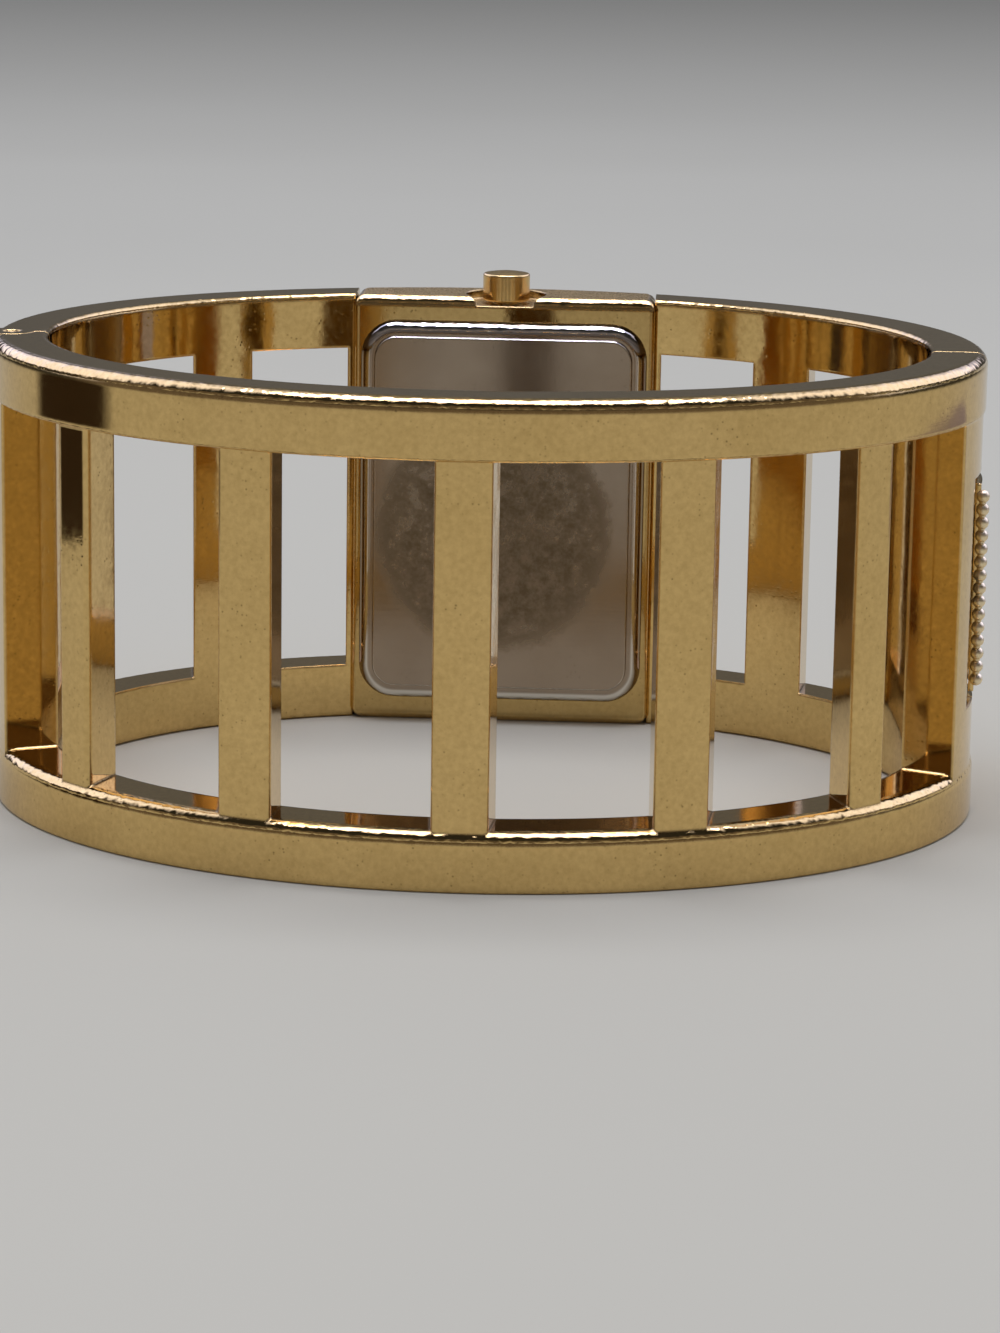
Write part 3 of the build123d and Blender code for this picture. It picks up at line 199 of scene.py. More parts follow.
class Effects:
    """Shader node groups that several finishes share."""

    def __init__(self) -> None:
        """Builds each group once."""
        self.pitting = self._pitting()
        self.haze = self._haze()
        self.lines = self._lines()
        self.edges = self._edges()
        self.ripple = self._ripple()

    def _pitting(self) -> bpy.types.NodeTree:
        """Tiny scattered pits and specks in plating.

        Returns:
            A group with a speck mask and a height.
        """
        sheet, ins, outs = new_group(
            "plating_pits",
            {"Scale": 3200.0, "Amount": 0.3},
            {"Specks": "NodeSocketFloat", "Height": "NodeSocketFloat"},
        )
        place = sheet.add("TexCoord").outputs["Object"]
        cells = sheet.add("TexVoronoi", feature="F1", in_Randomness=1.0)
        sheet.join(place, cells.inputs["Vector"])
        sheet.join(ins["Scale"], cells.inputs["Scale"])
        patch = sheet.add("TexNoise", in_Scale=420.0, in_Detail=3.0)
        sheet.join(place, patch.inputs["Vector"])
        spot = sheet.ramp(cells.outputs["Distance"], 0.04, 0.30, 1.0, 0.0)
        where = sheet.ramp(patch.outputs["Fac"], 0.44, 0.62, 0.0, 1.0)
        chosen = sheet.add("SeparateColor")
        sheet.join(cells.outputs["Color"], chosen.inputs["Color"])
        rare = sheet.ramp(chosen.outputs["Red"], 0.55, 0.63, 0.0, 1.0)
        mask = sheet.maths("MULTIPLY", sheet.maths("MULTIPLY", spot, where), rare)
        mask = sheet.maths("MULTIPLY", mask, ins["Amount"])
        sheet.join(mask, outs["Specks"])
        sheet.join(sheet.maths("MULTIPLY", mask, -0.25), outs["Height"])
        return sheet.tree

    def _haze(self) -> bpy.types.NodeTree:
        """Soft patches where a polished surface has dulled.

        Returns:
            A group with a mask and a roughness.
        """
        sheet, ins, outs = new_group(
            "handling_haze",
            {"Scale": 160.0, "Low": 0.15, "High": 0.3},
            {"Mask": "NodeSocketFloat", "Roughness": "NodeSocketFloat"},
        )
        place = sheet.add("TexCoord").outputs["Object"]
        large = sheet.add("TexNoise", in_Detail=5.0, in_Roughness=0.6)
        sheet.join(place, large.inputs["Vector"])
        sheet.join(ins["Scale"], large.inputs["Scale"])
        mask = sheet.ramp(large.outputs["Fac"], 0.35, 0.68, 0.0, 1.0)
        span = sheet.maths("SUBTRACT", ins["High"], ins["Low"])
        rough = sheet.maths("ADD", sheet.maths("MULTIPLY", mask, span), ins["Low"])
        sheet.join(mask, outs["Mask"])
        sheet.join(rough, outs["Roughness"])
        return sheet.tree

    def _lines(self) -> bpy.types.NodeTree:
        """Fine lines left by a polishing wheel or a brush.

        Returns:
            A group with a height; its stretch is given as three scales.
        """
        sheet, ins, outs = new_group(
            "polishing_lines",
            {"Across": 60.0, "Along": 60.0, "Up": 2600.0, "Strength": 0.5},
            {"Height": "NodeSocketFloat"},
        )
        place = sheet.add("TexCoord").outputs["Object"]
        scales = sheet.add("CombineXYZ")
        for axis, label in zip("XYZ", ("Across", "Along", "Up")):
            sheet.join(ins[label], scales.inputs[axis])
        stretch = sheet.add("VectorMath", operation="MULTIPLY")
        sheet.join(place, stretch.inputs[0])
        sheet.join(scales.outputs[0], stretch.inputs[1])
        lines = sheet.add("TexNoise", in_Scale=1.0, in_Detail=4.0, in_Roughness=0.65)
        sheet.join(stretch.outputs[0], lines.inputs["Vector"])
        centred = sheet.maths("SUBTRACT", lines.outputs["Fac"], 0.5)
        sheet.join(sheet.maths("MULTIPLY", centred, ins["Strength"]), outs["Height"])
        return sheet.tree

    def _ripple(self) -> bpy.types.NodeTree:
        """Slight unevenness of a casting that was polished by hand.

        Returns:
            A group with a height.
        """
        sheet, ins, outs = new_group(
            "casting_ripple", {"Scale": 380.0, "Fine": 0.15}, {"Height": "NodeSocketFloat"}
        )
        place = sheet.add("TexCoord").outputs["Object"]
        broad = sheet.add("TexNoise", in_Detail=1.0, in_Roughness=0.4)
        sheet.join(place, broad.inputs["Vector"])
        sheet.join(ins["Scale"], broad.inputs["Scale"])
        fine = sheet.add("TexNoise", in_Scale=1700.0, in_Detail=1.0)
        sheet.join(place, fine.inputs["Vector"])
        small = sheet.maths("MULTIPLY", fine.outputs["Fac"], ins["Fine"])
        sheet.join(sheet.maths("ADD", broad.outputs["Fac"], small), outs["Height"])
        return sheet.tree

    def _edges(self) -> bpy.types.NodeTree:
        """Rounded edges and a mask of where they are.

        Returns:
            A group with a normal and a mask.
        """
        sheet, ins, outs = new_group(
            "worn_edges", {"Radius": 0.00015}, {"Normal": "NodeSocketVector", "Mask": "NodeSocketFloat"}
        )
        round_edge = sheet.add("Bevel", samples=6)
        sheet.join(ins["Radius"], round_edge.inputs["Radius"])
        flat = sheet.add("NewGeometry").outputs["Normal"]
        turn = sheet.add("VectorMath", operation="DOT_PRODUCT")
        sheet.join(round_edge.outputs[0], turn.inputs[0])
        sheet.join(flat, turn.inputs[1])
        sheet.join(round_edge.outputs[0], outs["Normal"])
        sheet.join(sheet.ramp(turn.outputs["Value"], 0.80, 0.99, 1.0, 0.0), outs["Mask"])
        return sheet.tree


@dataclass(frozen=True)
class Wear:
    """How strongly each kind of wear shows, and how dark the painted shade on faces along Y is, the same for
    every metal.

    The pairs named facing say how squarely a surface faces an axis where a mask starts and where it is full.
    """

    haze_share: float = 0.35
    edge_share: float = 0.5
    dark_tone: float = 0.30
    mottle_scale: float = 2600.0
    mottle_dulling: float = 0.05
    mottle_tone: float = 0.72
    # Where the painted shade on faces that face along Y starts and where it is full.
    painted_shade_facing: tuple[float, float] = (0.9, 0.97)
    top_facing: tuple[float, float] = (0.85, 0.97)
    top_dulling: float = 0.16
    grain_scale: float = 5200.0
    grain_dulling: float = 0.12
    grain_depth: float = 3.0
    lump_scale: float = 1500.0
    lump_fine: float = 0.2
    lump_facing: tuple[float, float] = (0.30, 0.50)
    level_facing: tuple[float, float] = (0.95, 0.995)
    bump_strength: float = 0.6


WEAR = Wear()


@dataclass(frozen=True)
class MetalFinish:
    """A plated or bare metal finish with its wear, and painted shade on faces along Y where asked."""

    name: str
    colour: Colour
    stain: Colour
    shine_low: float
    shine_high: float
    pits: float = 0.0
    lines: float = 0.15
    flow: Flow = Flow.AROUND
    haze_scale: float = 160.0
    edge_radius: float = 0.15 * MM
    edge_colour: Colour | None = None
    bump: float = 0.02 * MM
    ripple: float = 0.01 * MM
    lumps: float = 0.0
    mottle: float = 0.0
    top_grain: float = 0.0
    # Share of painted shade that darkens faces along Y.
    rear_painted_shade: float = 0.0

    def material(self, effects: Effects) -> bpy.types.Material:
        """Builds the finish.

        Args:
            effects: The shared node groups.

        Returns:
            The new material.
        """
        made = bpy.data.materials.new(self.name)
        made.use_nodes = True
        sheet = Sheet(made.node_tree)
        shader = made.node_tree.nodes["Principled BSDF"]
        shader.inputs["Metallic"].default_value = 1.0
        haze = self._group(
            sheet, effects.haze, Scale=self.haze_scale, Low=self.shine_low, High=self.shine_high
        )
        across, along, up = self.flow.value
        lines = self._group(sheet, effects.lines, Across=across, Along=along, Up=up, Strength=self.lines)
        pits = self._group(sheet, effects.pitting, Amount=self.pits)
        edges = self._group(sheet, effects.edges, Radius=self.edge_radius)
        # Dark tone for real pits and grain, and for the painted shade on faces along Y.
        stain_and_painted_shade_tone = tuple(WEAR.dark_tone * c for c in self.stain)
        share = sheet.maths("MULTIPLY", haze.outputs["Mask"], WEAR.haze_share)
        colour = sheet.blend(share, self.colour, self.stain)
        rough = haze.outputs["Roughness"]
        if self.mottle > 0.0:
            speckle = self._group(
                sheet, effects.haze, Scale=WEAR.mottle_scale, Low=0.0, High=WEAR.mottle_dulling
            )
            share = sheet.maths("MULTIPLY", speckle.outputs["Mask"], self.mottle)
            colour = sheet.blend(share, colour, tuple(WEAR.mottle_tone * c for c in self.stain))
            rough = sheet.maths("ADD", rough, speckle.outputs["Roughness"])
        # Painted shade: faces that face along Y, either way, are darkened towards the dark tone.
        if self.rear_painted_shade > 0.0:
            painted_shade_mask = self._facing(sheet, "Y", *WEAR.painted_shade_facing)
            colour = sheet.blend(sheet.maths("MULTIPLY", painted_shade_mask, self.rear_painted_shade), colour, stain_and_painted_shade_tone)
        colour = sheet.blend(pits.outputs["Specks"], colour, stain_and_painted_shade_tone)
        share = sheet.maths("MULTIPLY", edges.outputs["Mask"], WEAR.edge_share)
        colour = sheet.blend(share, colour, self.edge_colour or self.colour)
        height = sheet.maths("ADD", lines.outputs["Height"], pits.outputs["Height"])
        if self.top_grain > 0.0:
            top = self._facing(sheet, "Z", *WEAR.top_facing)
            grain = self._group(
                sheet, effects.haze, Scale=WEAR.grain_scale, Low=0.0, High=WEAR.grain_dulling
            )
            coarse = sheet.maths("MULTIPLY", grain.outputs["Mask"], top)
            colour = sheet.blend(sheet.maths("MULTIPLY", coarse, self.top_grain), colour, stain_and_painted_shade_tone)
            rough = sheet.maths("ADD", rough, sheet.maths("MULTIPLY", top, WEAR.top_dulling))
            rough = sheet.maths("ADD", rough, sheet.maths("MULTIPLY", top, grain.outputs["Roughness"]))
            height = sheet.maths("ADD", height, sheet.maths("MULTIPLY", coarse, WEAR.grain_depth))
        if self.lumps > 0.0:
            low = self._facing(sheet, "Z", *WEAR.lump_facing)
            high = self._facing(sheet, "Z", *WEAR.level_facing)
            rounding = sheet.maths("MULTIPLY", low, sheet.maths("SUBTRACT", 1.0, high))
            lump = self._group(sheet, effects.ripple, Scale=WEAR.lump_scale, Fine=WEAR.lump_fine)
            lump = sheet.maths("MULTIPLY", lump.outputs["Height"], rounding)
            height = sheet.maths("ADD", height, sheet.maths("MULTIPLY", lump, self.lumps))
        sheet.join(colour, shader.inputs["Base Color"])
        sheet.join(rough, shader.inputs["Roughness"])
        bump = sheet.add("Bump", in_Strength=WEAR.bump_strength, in_Distance=self.bump)
        sheet.join(height, bump.inputs["Height"])
        uneven = sheet.add("Bump", in_Strength=1.0, in_Distance=self.ripple)
        sheet.join(self._group(sheet, effects.ripple).outputs["Height"], uneven.inputs["Height"])
        sheet.join(edges.outputs["Normal"], uneven.inputs["Normal"])
        sheet.join(uneven.outputs["Normal"], bump.inputs["Normal"])
        sheet.join(bump.outputs["Normal"], shader.inputs["Normal"])
        return made

    @staticmethod
    def _facing(sheet: Sheet, axis: str, low: float, high: float) -> bpy.types.NodeSocket:
        """Mask of the surfaces that face along an axis, either way.

        Args:
            sheet: The material's sheet.
            axis: X, Y or Z.
            low: Share of the normal along the axis where the mask starts.
            high: Share where it is full.

        Returns:
            The mask.
        """
        tip = sheet.add("SeparateXYZ")
        sheet.join(sheet.add("TexCoord").outputs["Normal"], tip.inputs[0])
        return sheet.ramp(sheet.maths("ABSOLUTE", tip.outputs[axis], 0.0), low, high, 0.0, 1.0)

    @staticmethod
    def _group(sheet: Sheet, tree: bpy.types.NodeTree, **values: float) -> bpy.types.Node:
        """Places a shared group with this finish's own values.

        Args:
            sheet: The material's sheet.
            tree: The group.
            values: Input values by name.

        Returns:
            The group node.
        """
        node = sheet.add("Group", node_tree=tree)
        for label, value in values.items():
            node.inputs[label].default_value = value
        return node


@dataclass(frozen=True)
class StainedSteel(MetalFinish):
    """The snap-on back: polished steel with a round stain where the skin touched it, and a painted gold
    reflection on its sideways flanges.
    """

    centre: tuple[float, float] = (-0.0006, 0.0142)
    spread: tuple[float, float] = (0.0083, 0.0084)
    stain_colour: Colour = (0.165, 0.125, 0.075)
    flange_colour: Colour = (0.72, 0.68, 0.60)
    # Painted reflection of the bangle's gold inner walls on the flanges that face sideways.
    side_painted_reflection: Colour = (0.26, 0.19, 0.11)
    flange_shine: float = 0.05
    ragged_scale: float = 900.0
    ragged_share: float = 0.7
    stain_edge: tuple[float, float] = (0.95, 1.5)
    ring_middle: float = 1.25
    ring_width: float = 0.22
    ring_share: float = 0.3
    blotch_span: tuple[float, float] = (0.40, 0.60)
    blotch_shares: tuple[float, float] = (0.30, 0.95)
    panel_facing: tuple[float, float] = (0.96, 0.995)
    painted_reflection_facing: tuple[float, float] = (0.25, 0.6)
    stain_dulling: float = 0.25

    def material(self, effects: Effects) -> bpy.types.Material:
        """Builds the finish, paints a gold reflection on the flanges that face sideways and lays the stain
        over its colour.

        Args:
            effects: The shared node groups.

        Returns:
            The new material.
        """
        made = super().material(effects)
        sheet = Sheet(made.node_tree)
        shader = made.node_tree.nodes["Principled BSDF"]
        where = sheet.add("TexCoord").outputs["Object"]
        place = sheet.add("SeparateXYZ")
        sheet.join(where, place.inputs[0])
        squares = []
        for axis, centre, spread in zip("XZ", self.centre, self.spread):
            offset = sheet.maths("DIVIDE", sheet.maths("SUBTRACT", place.outputs[axis], centre), spread)
            squares.append(sheet.maths("POWER", offset, 2.0))
        ragged = sheet.add("TexNoise", in_Scale=self.ragged_scale, in_Detail=8.0, in_Roughness=0.75)
        sheet.join(where, ragged.inputs["Vector"])
        unevenness = sheet.maths("MULTIPLY", ragged.outputs["Fac"], self.ragged_share)
        reach = sheet.maths("ADD", sheet.maths("ADD", *squares), unevenness)
        inside = sheet.ramp(reach, *self.stain_edge, 1.0, 0.0)
        off_ring = sheet.maths("ABSOLUTE", sheet.maths("SUBTRACT", reach, self.ring_middle), 0.0)
        ring = sheet.ramp(off_ring, 0.0, self.ring_width, self.ring_share, 0.0)
        blotch = sheet.ramp(ragged.outputs["Fac"], *self.blotch_span, *self.blotch_shares)
        flat = self._facing(sheet, "Y", *self.panel_facing)
        share = sheet.maths("ADD", sheet.maths("MULTIPLY", inside, blotch), ring)
        share = sheet.maths("MULTIPLY", share, flat)
        clean = shader.inputs["Base Color"].links[0].from_socket
        # Painted reflection: flanges that face along X get a gold-brown colour standing in for the gold
        # inner walls they would reflect.
        sideways = self._facing(sheet, "X", *self.painted_reflection_facing)
        flange_and_painted_reflection = sheet.blend(sideways, self.flange_colour, self.side_painted_reflection)
        clean = sheet.blend(flat, flange_and_painted_reflection, clean)
        sheet.join(sheet.blend(share, clean, self.stain_colour), shader.inputs["Base Color"])
        dull = sheet.maths("MULTIPLY", share, self.stain_dulling)
        rough = sheet.maths("MULTIPLY", shader.inputs["Roughness"].links[0].from_socket, flat)
        rough = sheet.maths("ADD", rough, sheet.ramp(flat, 0.0, 1.0, self.flange_shine, 0.0))
        sheet.join(sheet.maths("ADD", rough, dull), shader.inputs["Roughness"])
        return made


@dataclass(frozen=True)
class PlasticFinish:
    """A moulded, printed or rubber finish."""

    name: str
    colour: Colour
    shade: Colour
    roughness: float
    scale: float = 900.0

    def material(self, effects: Effects) -> bpy.types.Material:
        """Builds the finish.

        Args:
            effects: The shared node groups.

        Returns:
            The new material.
        """
        made = bpy.data.materials.new(self.name)
        made.use_nodes = True
        sheet = Sheet(made.node_tree)
        shader = made.node_tree.nodes["Principled BSDF"]
        haze = MetalFinish._group(
            sheet, effects.haze, Scale=self.scale, Low=self.roughness, High=min(1.0, self.roughness + 0.15)
        )
        sheet.join(sheet.blend(haze.outputs["Mask"], self.colour, self.shade), shader.inputs["Base Color"])
        sheet.join(haze.outputs["Roughness"], shader.inputs["Roughness"])
        bump = sheet.add("Bump", in_Strength=0.3, in_Distance=0.01 * MM)
        sheet.join(haze.outputs["Mask"], bump.inputs["Height"])
        sheet.join(bump.outputs["Normal"], shader.inputs["Normal"])
        return made


@dataclass(frozen=True)
class GlassFinish:
    """Clear mineral glass with faint smears."""

    name: str
    tint: Colour = (0.97, 0.98, 0.98)

    def material(self, effects: Effects) -> bpy.types.Material:
        """Builds the finish.

        Args:
            effects: The shared node groups.

        Returns:
            The new material.
        """
        made = bpy.data.materials.new(self.name)
        made.use_nodes = True
        sheet = Sheet(made.node_tree)
        shader = made.node_tree.nodes["Principled BSDF"]
        shader.inputs["Base Color"].default_value = (*self.tint, 1.0)
        shader.inputs["Transmission Weight"].default_value = 1.0
        shader.inputs["IOR"].default_value = 1.5
        haze = MetalFinish._group(sheet, effects.haze, Scale=90.0, Low=0.0, High=0.04)
        sheet.join(haze.outputs["Roughness"], shader.inputs["Roughness"])
        return made


@dataclass
class PhotoCamera:
    """Camera that stands where the photograph was taken from."""

    focal_pixels: float = 4222.0
    frame_height: float = 1333.0
    elevation: float = 0.2199
    azimuth: float = 0.0502
    roll: float = 0.0153
    distance: float = 283.7 * MM
    across: float = -0.974 * MM
    up: float = 6.69 * MM
    target_height: float = 15.5 * MM

    def place(self) -> None:
        """Makes the camera and gives it to the scene."""
        flat = math.cos(self.elevation)
        back = Vector(
            (math.sin(self.azimuth) * flat, -math.cos(self.azimuth) * flat, math.sin(self.elevation))
        )
        right = (-back).cross(Vector((0.0, 0.0, 1.0))).normalized()
        upward = right.cross(-back)
        cosine, sine = math.cos(self.roll), math.sin(self.roll)
        turned_right = cosine * right + sine * upward
        turned_up = -sine * right + cosine * upward
        data = bpy.data.cameras.new("photo_camera")
        data.sensor_width = 36.0
        data.lens = self.focal_pixels / self.frame_height * data.sensor_width
        data.clip_start, data.clip_end = 0.01, 20.0
        camera = bpy.data.objects.new("photo_camera", data)
        turn = Matrix((turned_right, turned_up, back)).transposed().to_4x4()
        spot = Vector((0.0, 0.0, self.target_height)) + back * self.distance
        spot -= turned_right * self.across + turned_up * self.up
        camera.matrix_world = Matrix.Translation(spot) @ turn
        bpy.context.scene.collection.objects.link(camera)
        bpy.context.scene.camera = camera
        log.info("camera stands at %s", [round(v, 4) for v in spot])


@dataclass(frozen=True)
class Card:
    """A sheet that only polished surfaces see, with a soft tone."""

    name: str
    spot: tuple[float, float, float]
    size: tuple[float, float]
    turn: float
    tone: Colour
    fade: float = 0.35
    lies: bool = False


@dataclass
class Studio:
    """Pale table, grey distance, one large soft lamp overhead and cards to reflect.

    A span says where a change of tone starts and ends: in metres on the table, and in the room as a share
    of the direction that is looked in.
    """

    table_size: float = 6.0
    near_tone: Colour = (0.63, 0.62, 0.60)
    middle_tone: Colour = (0.61, 0.61, 0.61)
    far_tone: Colour = (0.33, 0.33, 0.33)
    patch_tone: Colour = (0.45, 0.44, 0.43)
    patch_scale: float = 9.0
    patch_share: float = 0.10
    near_span: tuple[float, float] = (-0.10, 0.30)
    far_span: tuple[float, float] = (0.40, 0.97)
    lamp_size: float = 0.62
    lamp_height: float = 0.80
    lamp_offset: float = 0.02
    lamp_power: float = 3.5
    fill_tone: float = 0.39
    distance_tone: float = 0.215
    backdrop_tone: float = 0.125
    ceiling_tone: float = 0.38
    side_tone: Colour = (1.5, 1.6, 2.5)
    room_tone: float = 0.028
    low_room_tone: Colour = (0.15, 0.13, 0.13)
    towards_span: tuple[float, float] = (-0.10, 0.15)
    zenith_span: tuple[float, float] = (0.98, 0.998)
    ceiling_span: tuple[float, float] = (0.36, 0.60)
    room_side_span: tuple[float, float] = (0.14, 0.35)
    room_side_share: float = 0.8
    pale_side_span: tuple[float, float] = (0.14, 0.42)
    pale_height_span: tuple[float, float] = (0.15, 0.27)
    low_room_span: tuple[float, float] = (0.28, 0.48)
    card_power: float = 3.0
    cards: tuple[Card, ...] = (
        Card("soft_light", (0.0, 0.05, 0.80), (0.70, 0.40), 0.0, (9.0, 9.3, 13.5), 0.08, True),
        Card("warm_card", (0.085, 0.024, 0.013), (0.056, 0.010), 90.0, (0.27, 0.25, 0.36), 0.3),
        Card("dark_card", (-0.125, -0.004, 0.013), (0.066, 0.040), -90.0, (0.032, 0.022, 0.016), 0.6),
    )

    def build(self) -> None:
        """Makes the table, the lamps, the cards and the world."""
        self._table()
        self._lamps()
        for card in self.cards:
            self._card(card)
        self._world()
        log.info("studio is lit")

    def _table(self) -> None:
        """Flat pale table that greys into the distance."""
        shape = bmesh.new()
        bmesh.ops.create_grid(shape, x_segments=1, y_segments=1, size=self.table_size / 2)
        mesh = bpy.data.meshes.new("table_top")
        shape.to_mesh(mesh)
        shape.free()
        table = bpy.data.objects.new("table_top", mesh)
        bpy.context.scene.collection.objects.link(table)
        made = bpy.data.materials.new("table_white")
        made.use_nodes = True
        sheet = Sheet(made.node_tree)
        shader = made.node_tree.nodes["Principled BSDF"]
        place = sheet.add("SeparateXYZ")
        where = sheet.add("TexCoord").outputs["Object"]
        sheet.join(where, place.inputs[0])
        near = sheet.ramp(place.outputs["Y"], *self.near_span, 0.0, 1.0)
        far = sheet.ramp(place.outputs["Y"], *self.far_span, 0.0, 1.0)
        tone = sheet.blend(near, self.near_tone, self.middle_tone)
        tone = sheet.blend(far, tone, self.far_tone)
        cloud = sheet.add("TexNoise", in_Scale=self.patch_scale, in_Detail=2.0)
        sheet.join(where, cloud.inputs["Vector"])
        shade = sheet.ramp(cloud.outputs["Fac"], 0.3, 0.7, 0.0, self.patch_share)
        tone = sheet.blend(shade, tone, self.patch_tone)
        sheet.join(tone, shader.inputs["Base Color"])
        shader.inputs["Roughness"].default_value = 0.6
        shader.inputs["Specular IOR Level"].default_value = 0.0
        mesh.materials.append(made)

    def _lamps(self) -> None:
        """One large lamp overhead."""
        data = bpy.data.lights.new("overhead_lamp", "AREA")
        data.shape = "SQUARE"
        data.size = self.lamp_size
        data.energy = self.lamp_power
        lamp = bpy.data.objects.new("overhead_lamp", data)
        lamp.location = (0.0, self.lamp_offset, self.lamp_height)
        lamp.visible_glossy = False
        bpy.context.scene.collection.objects.link(lamp)

    def _card(self, card: Card) -> None:
        """Stands one card up where only reflections see it.

        Args:
            card: The card's place, size, turn about Z and tone.
        """
        made = bpy.data.materials.new(card.name)
        made.use_nodes = True
        shader = made.node_tree.nodes["Principled BSDF"]
        shader.inputs["Base Color"].default_value = (0.0, 0.0, 0.0, 1.0)
        shader.inputs["Roughness"].default_value = 1.0
        shader.inputs["Specular IOR Level"].default_value = 0.0
        shader.inputs["Emission Color"].default_value = (*card.tone, 1.0)
        shader.inputs["Emission Strength"].default_value = 1.0
        sheet = Sheet(made.node_tree)
        centred = sheet.add("Mapping", in_Location=(-1.0, -1.0, -1.0), in_Scale=(2.0, 2.0, 2.0))
        sheet.join(sheet.add("TexCoord").outputs["Generated"], centred.inputs["Vector"])
        parts = sheet.add("SeparateXYZ")
        sheet.join(centred.outputs[0], parts.inputs[0])
        reaches = [
            sheet.maths("POWER", sheet.maths("ABSOLUTE", parts.outputs[axis], 0.0), self.card_power)
            for axis in ("XY" if card.lies else "YZ")
        ]
        faded = sheet.ramp(sheet.maths("ADD", *reaches), 1.0 - card.fade, 1.0, 1.0, 0.0)
        sheet.join(faded, shader.inputs["Alpha"])
        shape = bmesh.new()
        bmesh.ops.create_grid(shape, x_segments=1, y_segments=1, size=0.5)
        bmesh.ops.scale(shape, vec=(card.size[0], card.size[1], 1.0), verts=shape.verts)
        if not card.lies:
            bmesh.ops.rotate(shape, verts=shape.verts, matrix=Matrix.Rotation(math.radians(90), 3, "X"))
        bmesh.ops.rotate(shape, verts=shape.verts, matrix=Matrix.Rotation(math.radians(card.turn), 3, "Z"))
        bmesh.ops.translate(shape, vec=card.spot, verts=shape.verts)
        mesh = bpy.data.meshes.new(card.name)
        shape.to_mesh(mesh)
        shape.free()
        mesh.materials.append(made)
        stand = bpy.data.objects.new(card.name, mesh)
        bpy.context.scene.collection.objects.link(stand)
        stand.visible_camera = False
        stand.visible_shadow = False
        stand.visible_diffuse = False

    def _world(self) -> None:
        """Grey backdrop, dark room behind the camera, and a pale ceiling that only gloss sees."""
        world = bpy.data.worlds.new("grey_room")
        bpy.context.scene.world = world
        world.use_nodes = True
        sheet = Sheet(world.node_tree)
        shader = world.node_tree.nodes["Background"]
        way = sheet.add("SeparateXYZ")
        sheet.join(sheet.add("TexCoord").outputs["Generated"], way.inputs[0])
        towards = sheet.ramp(way.outputs["Y"], *self.towards_span, 1.0, 0.0)
        low = sheet.ramp(way.outputs["Z"], *self.zenith_span, 1.0, 0.0)
        dark = sheet.maths("MULTIPLY", towards, low)
        high = sheet.ramp(way.outputs["Z"], *self.ceiling_span, 0.0, 1.0)
        tone = sheet.blend(high, (self.backdrop_tone,) * 3, (self.ceiling_tone,) * 3)
        aside = sheet.maths("ABSOLUTE", way.outputs["X"], 0.0)
        beside = sheet.ramp(aside, *self.room_side_span, 0.0, self.room_side_share)
        tone = sheet.blend(beside, tone, (self.room_tone,) * 3)
        sideways = sheet.ramp(aside, *self.pale_side_span, 0.0, 1.0)
        raised = sheet.ramp(way.outputs["Z"], *self.pale_height_span, 0.0, 1.0)
        tone = sheet.blend(sheet.maths("MULTIPLY", sideways, raised), tone, self.side_tone)
        deep = sheet.ramp(way.outputs["Z"], *self.low_room_span, 0.0, 1.0)
        room = sheet.blend(deep, self.low_room_tone, (self.room_tone,) * 3)
        seen = sheet.blend(dark, tone, room)
        path = sheet.add("LightPath").outputs
        plain = sheet.blend(path["Is Camera Ray"], (self.fill_tone,) * 3, (self.distance_tone,) * 3)
        sheet.join(sheet.blend(path["Is Glossy Ray"], plain, seen), shader.inputs["Color"])
        shader.inputs["Strength"].default_value = 1.0


def merged_copy(node: str) -> bmesh.types.BMesh:
    """Copies a CAD node's shape and closes its seams.

    Args:
        node: Name of the CAD node.

    Returns:
        The copy.
    """
    shape = bmesh.new()
    shape.from_mesh(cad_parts[node].data)
    bmesh.ops.remove_doubles(shape, verts=shape.verts, dist=0.0005 * MM)
    bmesh.ops.dissolve_limit(shape, angle_limit=math.radians(0.5), verts=shape.verts, edges=shape.edges)
    return shape


def finished(
    name: str, shape: bmesh.types.BMesh, finish: bpy.types.Material, body: str
) -> bpy.types.Object:
    """Turns a shape into a piece that rides on a body.

    Args:
        name: Name of the piece.
        shape: Its shape, freed here.
        finish: Its material.
        body: The body that it moves with.

    Returns:
        The piece.
    """
    bmesh.ops.recalc_face_normals(shape, faces=shape.faces)
    mesh = bpy.data.meshes.new(name)
    shape.to_mesh(mesh)
    shape.free()
    mesh.materials.append(finish)
    piece = bpy.data.objects.new(name, mesh)
    bpy.context.scene.collection.objects.link(piece)
    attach(piece, body)
    log.info("%s rides on %s", name, body)
    return piece


